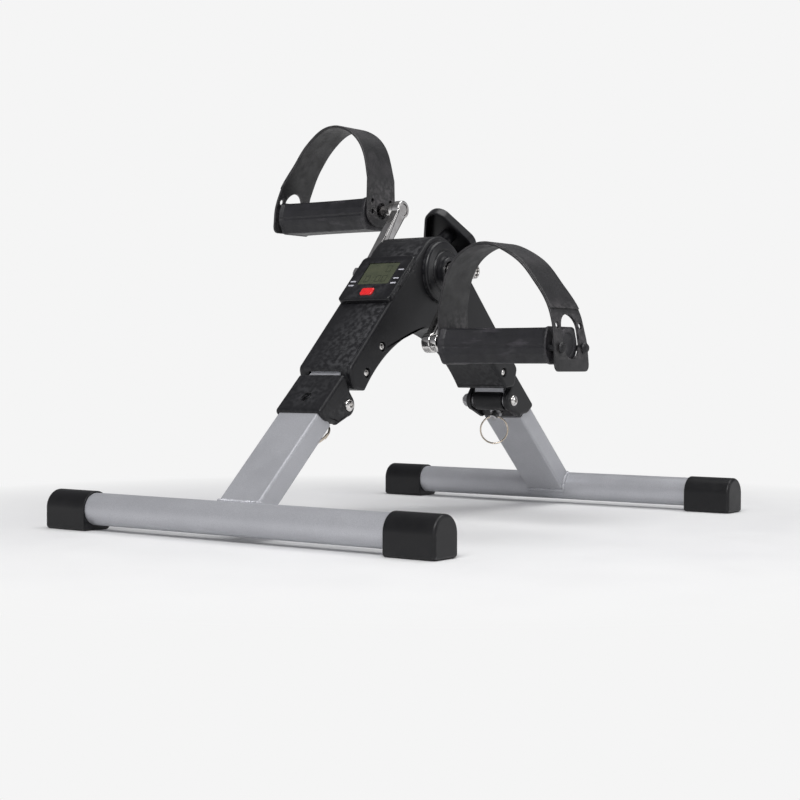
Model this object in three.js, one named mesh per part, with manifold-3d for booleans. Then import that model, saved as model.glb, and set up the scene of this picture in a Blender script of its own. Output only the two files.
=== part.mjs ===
// Folding pedal exerciser: two legs on foot tubes, an A-shaped housing round a steel frame, a crank axle with
// two strapped pedals, a friction brake set by a three-lobed knob, and a small counter on the near slope.
//
// Millimetres. +X runs from the near foot (the counter's side) to the far foot, +Z is up, and the origin is
// on the floor midway between the feet. "Left" is +Y and "right" is -Y.
//
// Each leg assembly is built in its own frame: x runs up the leg from the foot tube, y along the foot tube,
// and z out of the leg's outer face. The far leg is the near leg turned half a turn about the vertical.
import * as THREE from "three";
import { mergeVertices } from "three/addons/utils/BufferGeometryUtils.js";
import Module from "manifold-3d";

const wasm = await Module();
wasm.setup();

const MERGE = 1e-4; // vertices closer than this are one vertex
const GAP = 0.3; // clearance between neighbouring pieces
const THROUGH = 2; // how far a cutter runs past the face that it opens

// Feet
const FOOT_SPACING = 478; // between the foot tubes' centre lines
const FOOT_WIDTH = 400; // over the end caps
const TUBE_RADIUS = 13.5;
const TUBE_WALL = 1.5;
const TUBE_HEIGHT = 17.5; // centre line above the floor
const CAP = { length: 46, radius: 15, endWall: 3, corner: 3, bevel: 1.6 };

// Legs
const LEG_ANGLE = THREE.MathUtils.degToRad(42.8); // above the floor
const LEG = { width: 42, depth: 19.4, wall: 1.5, corner: 2.2, end: 116, drop: 2 };
const BRACKET = { halfWidth: 18.5, thickness: 2, clearance: 1, start: 86, baseEnd: 132 };
const EAR = { radius: 7.5, shoulder: 14 };
const SIDE_FACE = 24; // half the width over the hinge cover
const PIVOT = { x: 141.6, z: -10.3, bore: 8.6 }; // hinge axis in the leg's frame
const LUG_REACH = 15; // from the pivot down to where the ears enter the cover
const COVER = { lip: 12, top: 153, bevel: 1.4, lobe: 9.8, wallEnd: 133, pinWell: 100, open: 160, below: -40 };
const LOCK = { x: 128, radius: 4, tip: 8.5, tail: -22, head: -11.8, eye: -18.5, eyeRadius: 1.9 };
const RING = { radius: 13, wire: 1, farTurn: THREE.MathUtils.degToRad(-44) };

// Steel frame inside the housing
const ARM = { width: 32, low: 1.2, high: 10.5, wall: 2, corner: 2.5, start: 160, end: 306 };
const TONGUE = { low: -4, high: 9, radius: 19.3, end: 166, lug: 6.4 };
const DOORWAY = [140, 190]; // where the arms enter the housing, along the leg's frame
const HUB = { height: 220, radius: 20, bore: 14, halfLength: 23.5 };

// Housing
const SHELL = { halfWidth: 27.9, wall: 2.5, crown: 31.5, bevel: 2.4, seam: -24 };
const SLOPE_END = { x: 129, toe: 125, heel: 109, toeHeight: 121, heelHeight: 116.5 };
const ARCH = { centre: 36, radius: 135, start: 107 };
const SCREWS = [
  { name: "near_lower", x: -105.5, z: 131.4 },
  { name: "near_upper", x: -84, z: 153.5 },
  { name: "far_lower", x: 105.5, z: 131.4 },
  { name: "far_upper", x: 84, z: 153.5 },
];
const SCREW = { head: 3, shank: 1.8, boss: 4.2, sink: 1.2, length: 28 };
const HUB_COVER = { radius: 27.5, height: 6.5, wall: 2, hole: 9.6, boss: 13, bossHeight: 11.5 };

// Counter
const COUNTER = { size: 56, corner: 5, proud: 4.5, sunk: 5, wall: 2, bulge: 1.2, edge: 1.2, down: 76.6 };
const WINDOW = { width: 33.6, height: 27.4, up: 5.6, thickness: 1.6 };
const BUTTON = { width: 13, height: 8.4, down: 18, proud: 1.2, corner: 2, base: 1.2, flange: 2 };
const BUTTON_CLEARANCE = 0.8;
const BOARD = { size: 42, low: -3.6, high: -2.2 };
const CELL = { radius: 7, at: 12, low: -1.9, high: 0.9 };

// Drive
const AXLE = { radius: 8.5, drum: 12, drumHalf: 9, end: 5.6 };
const CRANK = { radius: 81.4, inner: 49.3, thickness: 9, eye: 8.6, halfWidth: 6, bevel: 1.4 };
const CRANK_ANGLE = THREE.MathUtils.degToRad(50.8); // of the left crank, above +X
const BEARING = { inner: 12, outer: 23, radius: 13.6, fit: 0.15 };
const COLLAR = { radius: 12.5, low: 28.6, high: 32 };
const REED = { from: -22, to: -14, half: 4, thickness: 2 };

// Pedals, in a frame on the spindle with y measured outwards from the object's middle
const PEDAL = { start: 78, end: 182, halfWidth: 25, waist: 4, top: 13, bottom: -15, ridge: -2 };
const STRAP = { width: 49, thickness: 2.2, segments: 22, from: 180, to: 205 };
const STRAP_WINDOW = { width: 26, height: 36, corner: 12, middle: 2 };
const PEG = { x: 18, z: -5, spareZ: 13, hole: 2.9, shank: 2.5, head: 4.4, height: 3.4 };
// The band's centre line, up from the crank's side of the pedal, over the foot and down past its outer end.
const STRAP_ARCH = [
  [76.5, -15],
  [76.5, 30],
  [82, 53.5],
  [90.5, 68],
  [103.5, 77.3],
  [118, 80.8],
  [134, 77],
];
// The outer ends are pegged at different holes, so the left strap is drawn in further than the right one.
const STRAPS = {
  left: {
    path: [...STRAP_ARCH, [152, 63], [166, 45.5], [179.5, 25], [185, 8], [186.5, -17]],
    pegHead: 188.2,
  },
  right: {
    path: [...STRAP_ARCH, [154, 65], [169, 48], [184, 26], [190, 2], [192, -24]],
    pegHead: 193,
  },
};

// Brake
const BRAKE_TILT = THREE.MathUtils.degToRad(55); // of the screw, from the vertical towards the far foot
const KNOB = { rim: 56, top: 67, lobeAt: 16, lobe: 13.4, wall: 2.2, stem: 7, bevel: 2.4 };
const KNOB_TURN = THREE.MathUtils.degToRad(85); // of one lobe, from the across direction
const BRAKE = { pad: 5.4, padLow: 14.8, padHigh: 21, screw: 4, boss: 8.5, bossTop: 38 };

const finish = {
  greyPaint: { color: 0xb9bcc3, metalness: 0.35, roughness: 0.42 },
  blackPlastic: { color: 0x202024, metalness: 0, roughness: 0.5 },
  softPlastic: { color: 0x26262a, metalness: 0, roughness: 0.62 },
  chrome: { color: 0xd9dadd, metalness: 1, roughness: 0.12 },
  zinc: { color: 0xa7aaae, metalness: 0.9, roughness: 0.35 },
  redPlastic: { color: 0xe32028, metalness: 0, roughness: 0.35 },
  glass: { color: 0x77786a, metalness: 0, roughness: 0.12 },
  board: { color: 0x1f6b3a, metalness: 0, roughness: 0.6 },
  felt: { color: 0x6b5a48, metalness: 0, roughness: 0.95 },
};

// ---------------------------------------------------------------- solids

function solidOf(geometry) {
  const bare = geometry.clone();
  bare.deleteAttribute("normal");
  bare.deleteAttribute("uv");
  const merged = mergeVertices(bare, MERGE);
  return new wasm.Manifold(
    new wasm.Mesh({
      numProp: 3,
      vertProperties: merged.attributes.position.array,
      triVerts: new Uint32Array(merged.index.array),
    }),
  );
}

function geometryOf(solid) {
  const mesh = solid.getMesh();
  const geometry = new THREE.BufferGeometry();
  geometry.setAttribute("position", new THREE.BufferAttribute(mesh.vertProperties, 3));
  geometry.setIndex(new THREE.BufferAttribute(mesh.triVerts, 1));
  geometry.computeVertexNormals();
  return geometry;
}

function combine(operation, first, others) {
  const whole = others.reduce((sum, other) => sum[operation](solidOf(other)), solidOf(first));
  return geometryOf(whole);
}

const join = (first, ...others) => combine("add", first, others);
const cut = (first, ...others) => combine("subtract", first, others);
const common = (first, ...others) => combine("intersect", first, others);

function box(low, high) {
  const size = high.map((value, i) => value - low[i]);
  const middle = high.map((value, i) => (value + low[i]) / 2);
  return new THREE.BoxGeometry(...size).translate(...middle);
}

// A cylinder of the given radius between two points.
function rod(radius, from, to, sides = 24) {
  const start = new THREE.Vector3(...from);
  const along = new THREE.Vector3(...to).sub(start);
  const turn = new THREE.Quaternion().setFromUnitVectors(
    new THREE.Vector3(0, 1, 0),
    along.clone().normalize(),
  );
  const geometry = new THREE.CylinderGeometry(radius, radius, along.length(), sides);
  const centre = start.addScaledVector(along, 0.5);
  return geometry.applyQuaternion(turn).translate(centre.x, centre.y, centre.z);
}

// Solids of revolution about the y axis from [radius, y] pairs.
function turned(profile, sides = 28) {
  return new THREE.LatheGeometry(
    profile.map(([radius, y]) => new THREE.Vector2(radius, y)),
    sides,
  );
}

function ring(inner, outer, low, high, sides = 28) {
  return turned([[inner, low], [outer, low], [outer, high], [inner, high], [inner, low]], sides);
}

// Extrusion settings for an edge rounded inwards by one facet of the given size.
function bevelled(size, segments = 1) {
  return {
    bevelEnabled: true,
    bevelThickness: size,
    bevelSize: size,
    bevelOffset: -size,
    bevelSegments: segments,
  };
}

function extruded(shape, depth, basis, options = {}) {
  const settings = { depth, bevelEnabled: false, curveSegments: 2, ...options };
  const turn = new THREE.Matrix4().makeBasis(...basis.map((v) => new THREE.Vector3(...v)));
  return new THREE.ExtrudeGeometry(shape, settings).applyMatrix4(turn);
}

// A shape drawn in x and z, given thickness from low to high in y.
function plate(shape, low, high, options) {
  return extruded(shape, high - low, [[1, 0, 0], [0, 0, 1], [0, -1, 0]], options).translate(0, high, 0);
}

// A shape drawn in y and z, given length from low to high in x.
function bar(shape, low, high, options) {
  return extruded(shape, high - low, [[0, 1, 0], [0, 0, 1], [1, 0, 0]], options).translate(low, 0, 0);
}

// A shape drawn in x and y, given height from low to high in z.
function slab(shape, low, high, options) {
  return extruded(shape, high - low, [[1, 0, 0], [0, 1, 0], [0, 0, 1]], options).translate(0, 0, low);
}

function roundedRectangle(width, height, corner, middle = [0, 0]) {
  const x = width / 2;
  const y = height / 2;
  const [cx, cy] = middle;
  const shape = new THREE.Shape();
  shape.moveTo(cx - x + corner, cy - y);
  shape.lineTo(cx + x - corner, cy - y);
  shape.absarc(cx + x - corner, cy - y + corner, corner, -Math.PI / 2, 0);
  shape.lineTo(cx + x, cy + y - corner);
  shape.absarc(cx + x - corner, cy + y - corner, corner, 0, Math.PI / 2);
  shape.lineTo(cx - x + corner, cy + y);
  shape.absarc(cx - x + corner, cy + y - corner, corner, Math.PI / 2, Math.PI);
  shape.lineTo(cx - x, cy - y + corner);
  shape.absarc(cx - x + corner, cy - y + corner, corner, Math.PI, 1.5 * Math.PI);
  return shape;
}

function outline(points) {
  return new THREE.Shape(points.map(([a, b]) => new THREE.Vector2(a, b)));
}

function piece(name, geometry, look) {
  const mesh = new THREE.Mesh(geometry, new THREE.MeshStandardMaterial(look));
  mesh.name = name;
  return mesh;
}

// ---------------------------------------------------------------- feet and legs

function footTube() {
  const half = FOOT_WIDTH / 2 - CAP.endWall - GAP;
  return ring(TUBE_RADIUS - TUBE_WALL, TUBE_RADIUS, -half, half, 24).translate(0, 0, TUBE_HEIGHT);
}

// Round over the tube and flat on the floor; hand is 1 for the left end and -1 for the right.
function footCap(hand) {
  const { length, radius, endWall, corner, bevel } = CAP;
  const shape = new THREE.Shape();
  shape.moveTo(-radius + corner, 0);
  shape.lineTo(radius - corner, 0);
  shape.lineTo(radius, corner);
  shape.absarc(0, TUBE_HEIGHT, radius, 0, Math.PI);
  shape.lineTo(-radius, corner);
  const inside = FOOT_WIDTH / 2 - length;
  const outside = FOOT_WIDTH / 2;
  const body = plate(shape, inside + bevel, outside - bevel, {
    ...bevelled(bevel),
    curveSegments: 6,
  });
  const socket = rod(
    TUBE_RADIUS + GAP,
    [0, inside - THROUGH, TUBE_HEIGHT],
    [0, outside - endWall, TUBE_HEIGHT],
  );
  const cap = cut(body, socket);
  return hand > 0 ? cap : cap.rotateZ(Math.PI);
}

function legTube() {
  const { width, depth, wall, corner, end } = LEG;
  const section = roundedRectangle(width, depth, corner);
  section.holes.push(roundedRectangle(width - 2 * wall, depth - 2 * wall, corner - wall));
  const tube = bar(section, 0, end);
  const foot = rod(TUBE_RADIUS + GAP, [0, -width, LEG.drop], [0, width, LEG.drop]);
  return cut(tube, foot);
}

// The steel channel welded into the top of the leg. Its two ears carry the pivot bolt.
function hingeBracket() {
  const inside = BRACKET.halfWidth;
  const base = -(LEG.depth / 2 - LEG.wall - BRACKET.clearance);
  const { thickness, start, baseEnd } = BRACKET;
  const ear = outline([[start, base], [PIVOT.x - EAR.shoulder, base]]);
  ear.absarc(PIVOT.x, PIVOT.z, EAR.radius, 1.25 * Math.PI, 2 * Math.PI);
  ear.lineTo(PIVOT.x + EAR.radius, 0);
  ear.lineTo(PIVOT.x, -base);
  ear.lineTo(start, -base);
  const earOn = (low) => plate(ear, low, low + thickness, { curveSegments: 4 });
  const channel = join(
    box([start, -inside, base], [baseEnd, inside, base + thickness]),
    earOn(-inside),
    earOn(inside - thickness),
  );
  return cut(
    channel,
    rod(PIVOT.bore / 2, [PIVOT.x, -inside - THROUGH, PIVOT.z], [PIVOT.x, inside + THROUGH, PIVOT.z]),
    rod(LOCK.radius + GAP, [LOCK.x, 0, base - THROUGH], [LOCK.x, 0, base + thickness + THROUGH]),
  );
}

// The moulded sleeve round the top of the leg, with a round lobe over each end of the pivot bolt. It is open
// at its upper end and, beyond the lock pin, on its inner side, where the frame's tongue turns out of it.
function hingeCover() {
  const side = LEG.width / 2 + GAP;
  const face = LEG.depth / 2 + GAP;
  const { lip, top, bevel, lobe, wallEnd, pinWell } = COVER;
  const shape = outline([[110, lip], [113, 0], [120.5, -10], [PIVOT.x - 8, PIVOT.z - 6.6]]);
  shape.absarc(PIVOT.x, PIVOT.z, lobe, 1.3 * Math.PI, 2 * Math.PI);
  shape.lineTo(top, 0);
  shape.lineTo(top, lip);
  const inner = BRACKET.halfWidth + GAP;
  const between = inner - BRACKET.thickness - 2 * GAP;
  const end = COVER.open;
  const low = COVER.below;
  const ears = [-1, 1].map((hand) => {
    const sides = [hand * between, hand * inner].sort((a, b) => a - b);
    return box([PIVOT.x - LUG_REACH, sides[0], low], [end, sides[1], 0]);
  });
  return cut(
    plate(shape, -SIDE_FACE + bevel, SIDE_FACE - bevel, { ...bevelled(bevel), curveSegments: 3 }),
    box([0, -side, -face], [LEG.end + GAP, side, face]),
    box([LEG.end, -inner, -LEG.depth / 2 + LEG.wall], [end, inner, TONGUE.high + 2 * GAP]),
    box([wallEnd, -inner, low], [end, inner, 0]),
    box([pinWell, -inner, low], [end, inner, LOCK.head + GAP]),
    ...ears,
    rod(LOCK.radius + GAP, [LOCK.x, 0, low], [LOCK.x, 0, 0]),
    rod(LOCK.radius + 0.8, [LOCK.x, 0, 0], [LOCK.x, 0, lip + THROUGH]),
    rod(PIVOT.bore / 2, [PIVOT.x, low, PIVOT.z], [PIVOT.x, -low, PIVOT.z]),
  );
}

function pivotBolt() {
  const head = 5.2;
  const shank = PIVOT.bore / 2 - GAP;
  const length = SIDE_FACE + 7;
  return turned([
    [0, -SIDE_FACE - 3.6],
    [head * 0.7, -SIDE_FACE - 3.2],
    [head, -SIDE_FACE - 2],
    [head, -SIDE_FACE - GAP],
    [shank, -SIDE_FACE - GAP],
    [shank, length],
    [0, length],
  ], 14).translate(PIVOT.x, 0, PIVOT.z);
}

function pivotNut() {
  return cut(
    rod(6.5, [PIVOT.x, SIDE_FACE + GAP, PIVOT.z], [PIVOT.x, SIDE_FACE + 5.5, PIVOT.z], 6),
    rod(PIVOT.bore / 2, [PIVOT.x, 0, PIVOT.z], [PIVOT.x, 40, PIVOT.z], 20),
  );
}

function lockPin(turn) {
  const { x, radius, tip, tail, head, eye, eyeRadius } = LOCK;
  const profile = [
    [0, tail],
    [radius - 1, tail],
    [radius, tail + 1],
    [radius, head - 2],
    [radius + 2, head - 2],
    [radius + 2, head],
    [radius, head],
    [radius, tip - 1],
    [radius - 1, tip],
    [0, tip],
  ];
  const across = ringAxis(turn).multiplyScalar(12);
  const hole = rod(eyeRadius, [-across.x, -across.y, eye], [across.x, across.y, eye], 14);
  const pin = turned(profile, 12).rotateX(Math.PI / 2);
  return cut(pin, hole).translate(x, 0, 0);
}

// The direction of the cross hole that the pull ring runs through, in the leg's frame.
function ringAxis(turn) {
  return new THREE.Vector3(-Math.sin(turn), -Math.cos(turn), 0);
}

// The ring lies along the leg's inner face when tucked up, and otherwise hangs below the pin's cross hole.
function pullRing(turn, tucked) {
  const across = ringAxis(turn);
  const down = tucked
    ? new THREE.Vector3(-1, 0, 0)
    : new THREE.Vector3(-Math.sin(LEG_ANGLE), 0, -Math.cos(LEG_ANGLE));
  down.addScaledVector(across, -down.dot(across)).normalize();
  const facing = new THREE.Vector3().crossVectors(across, down);
  const centre = new THREE.Vector3(LOCK.x, 0, LOCK.eye).addScaledVector(down, RING.radius);
  const placed = new THREE.Matrix4().makeBasis(across, down, facing).setPosition(centre);
  return new THREE.TorusGeometry(RING.radius, RING.wire, 5, 18).applyMatrix4(placed);
}

// A frame on the leg: x up the leg, y along the foot tube, z out of its outer face.
function onLeg() {
  const group = new THREE.Group();
  group.rotation.y = -LEG_ANGLE;
  group.position.set(
    -FOOT_SPACING / 2 + LEG.drop * Math.sin(LEG_ANGLE),
    0,
    TUBE_HEIGHT - LEG.drop * Math.cos(LEG_ANGLE),
  );
  return group;
}

function legAssembly(end, turnedRound) {
  const assembly = new THREE.Group();
  const foot = new THREE.Group();
  foot.position.x = -FOOT_SPACING / 2;
  const [capOne, capTwo] = turnedRound ? ["right", "left"] : ["left", "right"];
  foot.add(
    piece(`${end}_foot_tube`, footTube(), finish.greyPaint),
    piece(`${end}_foot_cap_${capOne}`, footCap(1), finish.blackPlastic),
    piece(`${end}_foot_cap_${capTwo}`, footCap(-1), finish.blackPlastic),
  );
  // The near ring is tucked up behind its leg; the far one hangs, with its pin turned a little.
  const turn = turnedRound ? RING.farTurn : 0;
  const bolt = pivotBolt();
  const nut = pivotNut();
  if (turnedRound) {
    // The bolt heads are on the right of both hinges.
    for (const part of [bolt, nut]) {
      part.translate(-PIVOT.x, 0, 0).rotateZ(Math.PI).translate(PIVOT.x, 0, 0);
    }
  }
  const leg = onLeg();
  leg.add(
    piece(`${end}_leg_tube`, legTube(), finish.greyPaint),
    piece(`${end}_hinge_bracket`, hingeBracket(), finish.zinc),
    piece(`${end}_hinge_cover`, hingeCover(), finish.blackPlastic),
    piece(`${end}_pivot_bolt`, bolt, finish.chrome),
    piece(`${end}_pivot_nut`, nut, finish.zinc),
    piece(`${end}_lock_pin`, lockPin(turn), finish.zinc),
    piece(`${end}_pull_ring`, pullRing(turn, !turnedRound), finish.chrome),
  );
  assembly.add(foot, leg);
  assembly.rotation.z = turnedRound ? Math.PI : 0;
  return assembly;
}

// ---------------------------------------------------------------- steel frame

// One rectangular arm in the leg's frame, with its pivot lug and its tongue. The tongue is rounded about the
// pivot, so that it turns inside the closed hinge cover, and forked to let the lock pin in from its end.
function armSolids() {
  const { width, low, high, wall, corner, start, end } = ARM;
  const middle = [0, (low + high) / 2];
  const outer = bar(roundedRectangle(width, high - low, corner, middle), start, end);
  const core = roundedRectangle(width - 2 * wall, high - low - 2 * wall, 0.8, middle);
  const inner = bar(core, TONGUE.end + THROUGH, end - 30, { curveSegments: 1 });
  const half = width / 2;
  const slot = LOCK.radius + 0.6;
  const top = TONGUE.high;
  const bottom = TONGUE.low;
  const tongue = outline([[TONGUE.end, bottom], [TONGUE.end, top], [PIVOT.x, top]]);
  const tip = Math.PI - Math.asin((bottom - PIVOT.z) / TONGUE.radius);
  tongue.absarc(PIVOT.x, PIVOT.z, TONGUE.radius, Math.PI / 2, tip);
  tongue.lineTo(PIVOT.x - TONGUE.lug, bottom);
  tongue.absarc(PIVOT.x, PIVOT.z, TONGUE.lug, Math.PI, 2 * Math.PI);
  tongue.lineTo(PIVOT.x + 12, bottom);
  return {
    solid: [
      outer,
      plate(tongue, -half, half, { curveSegments: 5 }),
    ],
    cutters: [
      inner,
      rod(4, [200, 0, low - THROUGH], [200, 0, low + wall + THROUGH], 12),
      rod(PIVOT.bore / 2, [PIVOT.x, -half - THROUGH, PIVOT.z], [PIVOT.x, half + THROUGH, PIVOT.z]),
      rod(slot, [LOCK.x, 0, bottom - THROUGH], [LOCK.x, 0, top + THROUGH], 16),
      box([PIVOT.x - TONGUE.radius - THROUGH, -slot, bottom - THROUGH], [LOCK.x, slot, top + THROUGH]),
    ],
  };
}

// The direction of the brake screw, and a rod along it between two distances from the axle's centre line.
function brakeRod(radius, from, to, sides) {
  const at = (distance) => [
    distance * Math.sin(BRAKE_TILT),
    0,
    HUB.height + distance * Math.cos(BRAKE_TILT),
  ];
  return rod(radius, at(from), at(to), sides);
}

function mainFrame() {
  const leg = onLeg();
  leg.updateMatrix();
  const half = new THREE.Matrix4().makeRotationZ(Math.PI);
  const both = (geometries) =>
    geometries.flatMap((g) => {
      const near = g.clone().applyMatrix4(leg.matrix);
      return [near, near.clone().applyMatrix4(half)];
    });
  const arms = armSolids();
  const hub = rod(HUB.radius, [0, -HUB.halfLength, HUB.height], [0, HUB.halfLength, HUB.height], 32);
  const bore = rod(HUB.bore, [0, -30, HUB.height], [0, 30, HUB.height], 32);
  const steel = join(hub, brakeRod(BRAKE.boss, 12, BRAKE.bossTop, 24), ...both(arms.solid));
  return cut(
    steel,
    bore,
    brakeRod(BRAKE.pad + GAP, 10, BRAKE.padHigh + 1.5, 20),
    brakeRod(BRAKE.screw + GAP, 10, BRAKE.bossTop + THROUGH, 20),
    ...both(arms.cutters),
  );
}

// ---------------------------------------------------------------- housing

// The A-shaped side view, drawn in by inset on every side.
function housingOutline(inset) {
  const crown = SHELL.crown - inset;
  const tangent = crown * Math.SQRT1_2;
  const slopeSum = HUB.height + crown * Math.SQRT2;
  const endX = SLOPE_END.x - inset;
  const archRadius = ARCH.radius + inset;
  const archStart = Math.asin(ARCH.start / archRadius);
  const shape = new THREE.Shape();
  shape.moveTo(-tangent, HUB.height + tangent);
  shape.lineTo(-endX, slopeSum - endX);
  shape.lineTo(-SLOPE_END.toe + inset, SLOPE_END.toeHeight + inset);
  shape.lineTo(-SLOPE_END.heel - 9 + inset, SLOPE_END.heelHeight + inset * 0.6);
  shape.lineTo(-SLOPE_END.heel + inset, SLOPE_END.heelHeight + inset);
  shape.absarc(0, ARCH.centre, archRadius, Math.PI / 2 + archStart, Math.PI / 2 - archStart, true);
  shape.lineTo(SLOPE_END.heel - inset, SLOPE_END.heelHeight + inset);
  shape.lineTo(SLOPE_END.heel + 9 - inset, SLOPE_END.heelHeight + inset * 0.6);
  shape.lineTo(SLOPE_END.toe - inset, SLOPE_END.toeHeight + inset);
  shape.lineTo(endX, slopeSum - endX);
  shape.lineTo(tangent, HUB.height + tangent);
  shape.absarc(0, HUB.height, crown, Math.PI / 4, 0.75 * Math.PI);
  return shape;
}

// A frame on the near slope: x up the slope, y across it, z out of it, with its origin under the counter.
function counterMatrix() {
  const along = COUNTER.down * Math.SQRT1_2;
  const slopeSum = HUB.height + SHELL.crown * Math.SQRT2;
  return new THREE.Matrix4()
    .makeRotationY(-Math.PI / 4)
    .setPosition(-along, 0, slopeSum - along);
}

// The hollow that both shells enclose, with every opening in it.
function housingCutters() {
  const inside = SHELL.halfWidth - SHELL.wall;
  const inner = plate(housingOutline(SHELL.wall), -inside, inside, { curveSegments: 7 });
  const leg = onLeg();
  leg.updateMatrix();
  const door = ARM.width / 2 + 1;
  const [doorStart, doorEnd] = DOORWAY;
  const doorway = box([doorStart, -door, TONGUE.low - 1], [doorEnd, door, ARM.high + 0.4]);
  const nearDoor = doorway.applyMatrix4(leg.matrix);
  const farDoor = nearDoor.clone().rotateZ(Math.PI);
  const side = COUNTER.size / 2;
  const pocket = box([-side + 1, -side + 3, -8], [side - 1, side - 3, 12]).applyMatrix4(counterMatrix());
  const axleHole = rod(AXLE.radius + 1, [0, -40, HUB.height], [0, 40, HUB.height]);
  return [inner, nearDoor, farDoor, pocket, axleHole, brakeRod(BRAKE.boss + 0.5, 20, 45, 24)];
}

// The housing is a deep shell, closed on its right side by a cover that the screws hold.
function housingPart(isCover) {
  const { halfWidth, bevel, seam } = SHELL;
  const whole = plate(housingOutline(0), -halfWidth + bevel, halfWidth - bevel, {
    ...bevelled(bevel),
    curveSegments: 7,
  });
  const reach = 200;
  const edge = isCover ? seam - GAP / 2 : seam + GAP / 2;
  const otherPart = isCover
    ? box([-reach, edge, 0], [reach, reach, 2 * reach])
    : box([-reach, -reach, 0], [reach, edge, 2 * reach]);
  const part = cut(whole, otherPart, ...housingCutters());
  const bossEnds = isCover ? [-halfWidth + 1, edge] : [edge, halfWidth - 1];
  const bosses = SCREWS.map(({ x, z }) => rod(SCREW.boss, [x, bossEnds[0], z], [x, bossEnds[1], z], 12));
  const bored = SCREWS.flatMap(({ x, z }) => screwCutters(isCover, x, z));
  return cut(join(part, ...bosses), ...bored);
}

function screwCutters(isCover, x, z) {
  const { halfWidth } = SHELL;
  const outside = -halfWidth - THROUGH;
  const shank = rod(SCREW.shank + GAP, [x, outside, z], [x, halfWidth - SCREW.length + 2, z], 10);
  if (!isCover) return [shank];
  const recess = rod(SCREW.head + 0.6, [x, outside, z], [x, -halfWidth + SCREW.sink + 2, z], 12);
  return [shank, recess];
}

function housingScrew({ x, z }) {
  const headFace = -SHELL.halfWidth + 0.6;
  const seat = -SHELL.halfWidth + SCREW.sink + 2 - GAP;
  const screw = turned([
    [0, headFace],
    [SCREW.head * 0.75, headFace + 0.3],
    [SCREW.head, headFace + 1.3],
    [SCREW.head, seat],
    [SCREW.shank, seat],
    [SCREW.shank, SHELL.halfWidth - SCREW.length],
    [0, SHELL.halfWidth - SCREW.length],
  ], 12);
  const [slotHalf, slotReach] = [0.5, 2.4];
  const cross = [
    box([-slotReach, headFace - 1, -slotHalf], [slotReach, headFace + 1, slotHalf]),
    box([-slotHalf, headFace - 1, -slotReach], [slotHalf, headFace + 1, slotReach]),
  ];
  return cut(screw, ...cross).translate(x, 0, z);
}

// A shallow hollow dome over the bearing, on the left for hand 1 and the right for hand -1.
function hubCover(hand) {
  const { radius, height, wall, hole, boss, bossHeight } = HUB_COVER;
  const low = SHELL.halfWidth + GAP;
  const profile = [
    [radius - wall, low],
    [radius, low],
    [radius, low + height * 0.4],
    [radius - 2, low + height * 0.75],
    [radius * 0.7, low + height],
    [boss, low + height],
    [boss, low + bossHeight],
    [hole, low + bossHeight],
    [hole, low + height - wall],
    [radius * 0.65, low + height - wall],
    [radius - wall, low + height * 0.4],
    [radius - wall, low],
  ];
  const cover = turned(profile, 20).translate(0, 0, HUB.height);
  return hand > 0 ? cover : cover.rotateZ(Math.PI);
}

// ---------------------------------------------------------------- counter

function counterCase() {
  const { size, corner, proud, sunk, wall, bulge, edge } = COUNTER;
  const half = size / 2;
  const bump = size / 6;
  const flange = join(
    slab(roundedRectangle(size, size, corner), 0, proud - edge, bevelled(edge)),
    slab(roundedRectangle(2 * bump, size + 2 * bulge, 2), 0, proud - 1.5),
  );
  const skirt = slab(roundedRectangle(size - 3, size - 7, corner - 2), -sunk, 1);
  const [x, y] = [half - 1.5 - wall, half - 3.5 - wall];
  const hollow = box([-x, -y, -sunk - THROUGH], [x, y, proud - wall]);
  const windowHole = box(
    [WINDOW.up - WINDOW.height / 2, -WINDOW.width / 2, 0],
    [WINDOW.up + WINDOW.height / 2, WINDOW.width / 2, proud + THROUGH],
  );
  const buttonHole = slab(
    roundedRectangle(
      BUTTON.height + BUTTON_CLEARANCE,
      BUTTON.width + BUTTON_CLEARANCE,
      BUTTON.corner + BUTTON_CLEARANCE / 2,
      [-BUTTON.down, 0],
    ),
    0,
    proud + THROUGH,
  );
  const below = box([-size, -size, -size], [size, size, GAP]);
  return cut(join(cut(flange, below), skirt), hollow, windowHole, buttonHole);
}

function counterWindow() {
  const top = COUNTER.proud - 0.5;
  const x = WINDOW.height / 2 - GAP;
  const y = WINDOW.width / 2 - GAP;
  return box([WINDOW.up - x, -y, top - WINDOW.thickness], [WINDOW.up + x, y, top]);
}

function resetButton() {
  const { width, height, down, proud, corner, base, flange } = BUTTON;
  const top = COUNTER.proud + proud;
  const edge = 0.8;
  const middle = [-down, 0];
  const cap = slab(roundedRectangle(height, width, corner, middle), base, top - edge, bevelled(edge));
  const rim = roundedRectangle(height + flange, width + flange, corner, middle);
  return join(cap, slab(rim, base - 0.6, base + 0.4));
}

function circuitBoard() {
  const half = BOARD.size / 2;
  return box([-half, -half, BOARD.low], [half, half, BOARD.high]);
}

function buttonCell() {
  return rod(CELL.radius, [CELL.at, 0, CELL.low], [CELL.at, 0, CELL.high], 24);
}

function counterAssembly() {
  const group = new THREE.Group();
  group.applyMatrix4(counterMatrix());
  group.add(
    piece("counter_case", counterCase(), finish.blackPlastic),
    piece("counter_window", counterWindow(), finish.glass),
    piece("reset_button", resetButton(), finish.redPlastic),
    piece("circuit_board", circuitBoard(), finish.board),
    piece("button_cell", buttonCell(), finish.zinc),
  );
  return group;
}

// ---------------------------------------------------------------- drive

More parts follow.
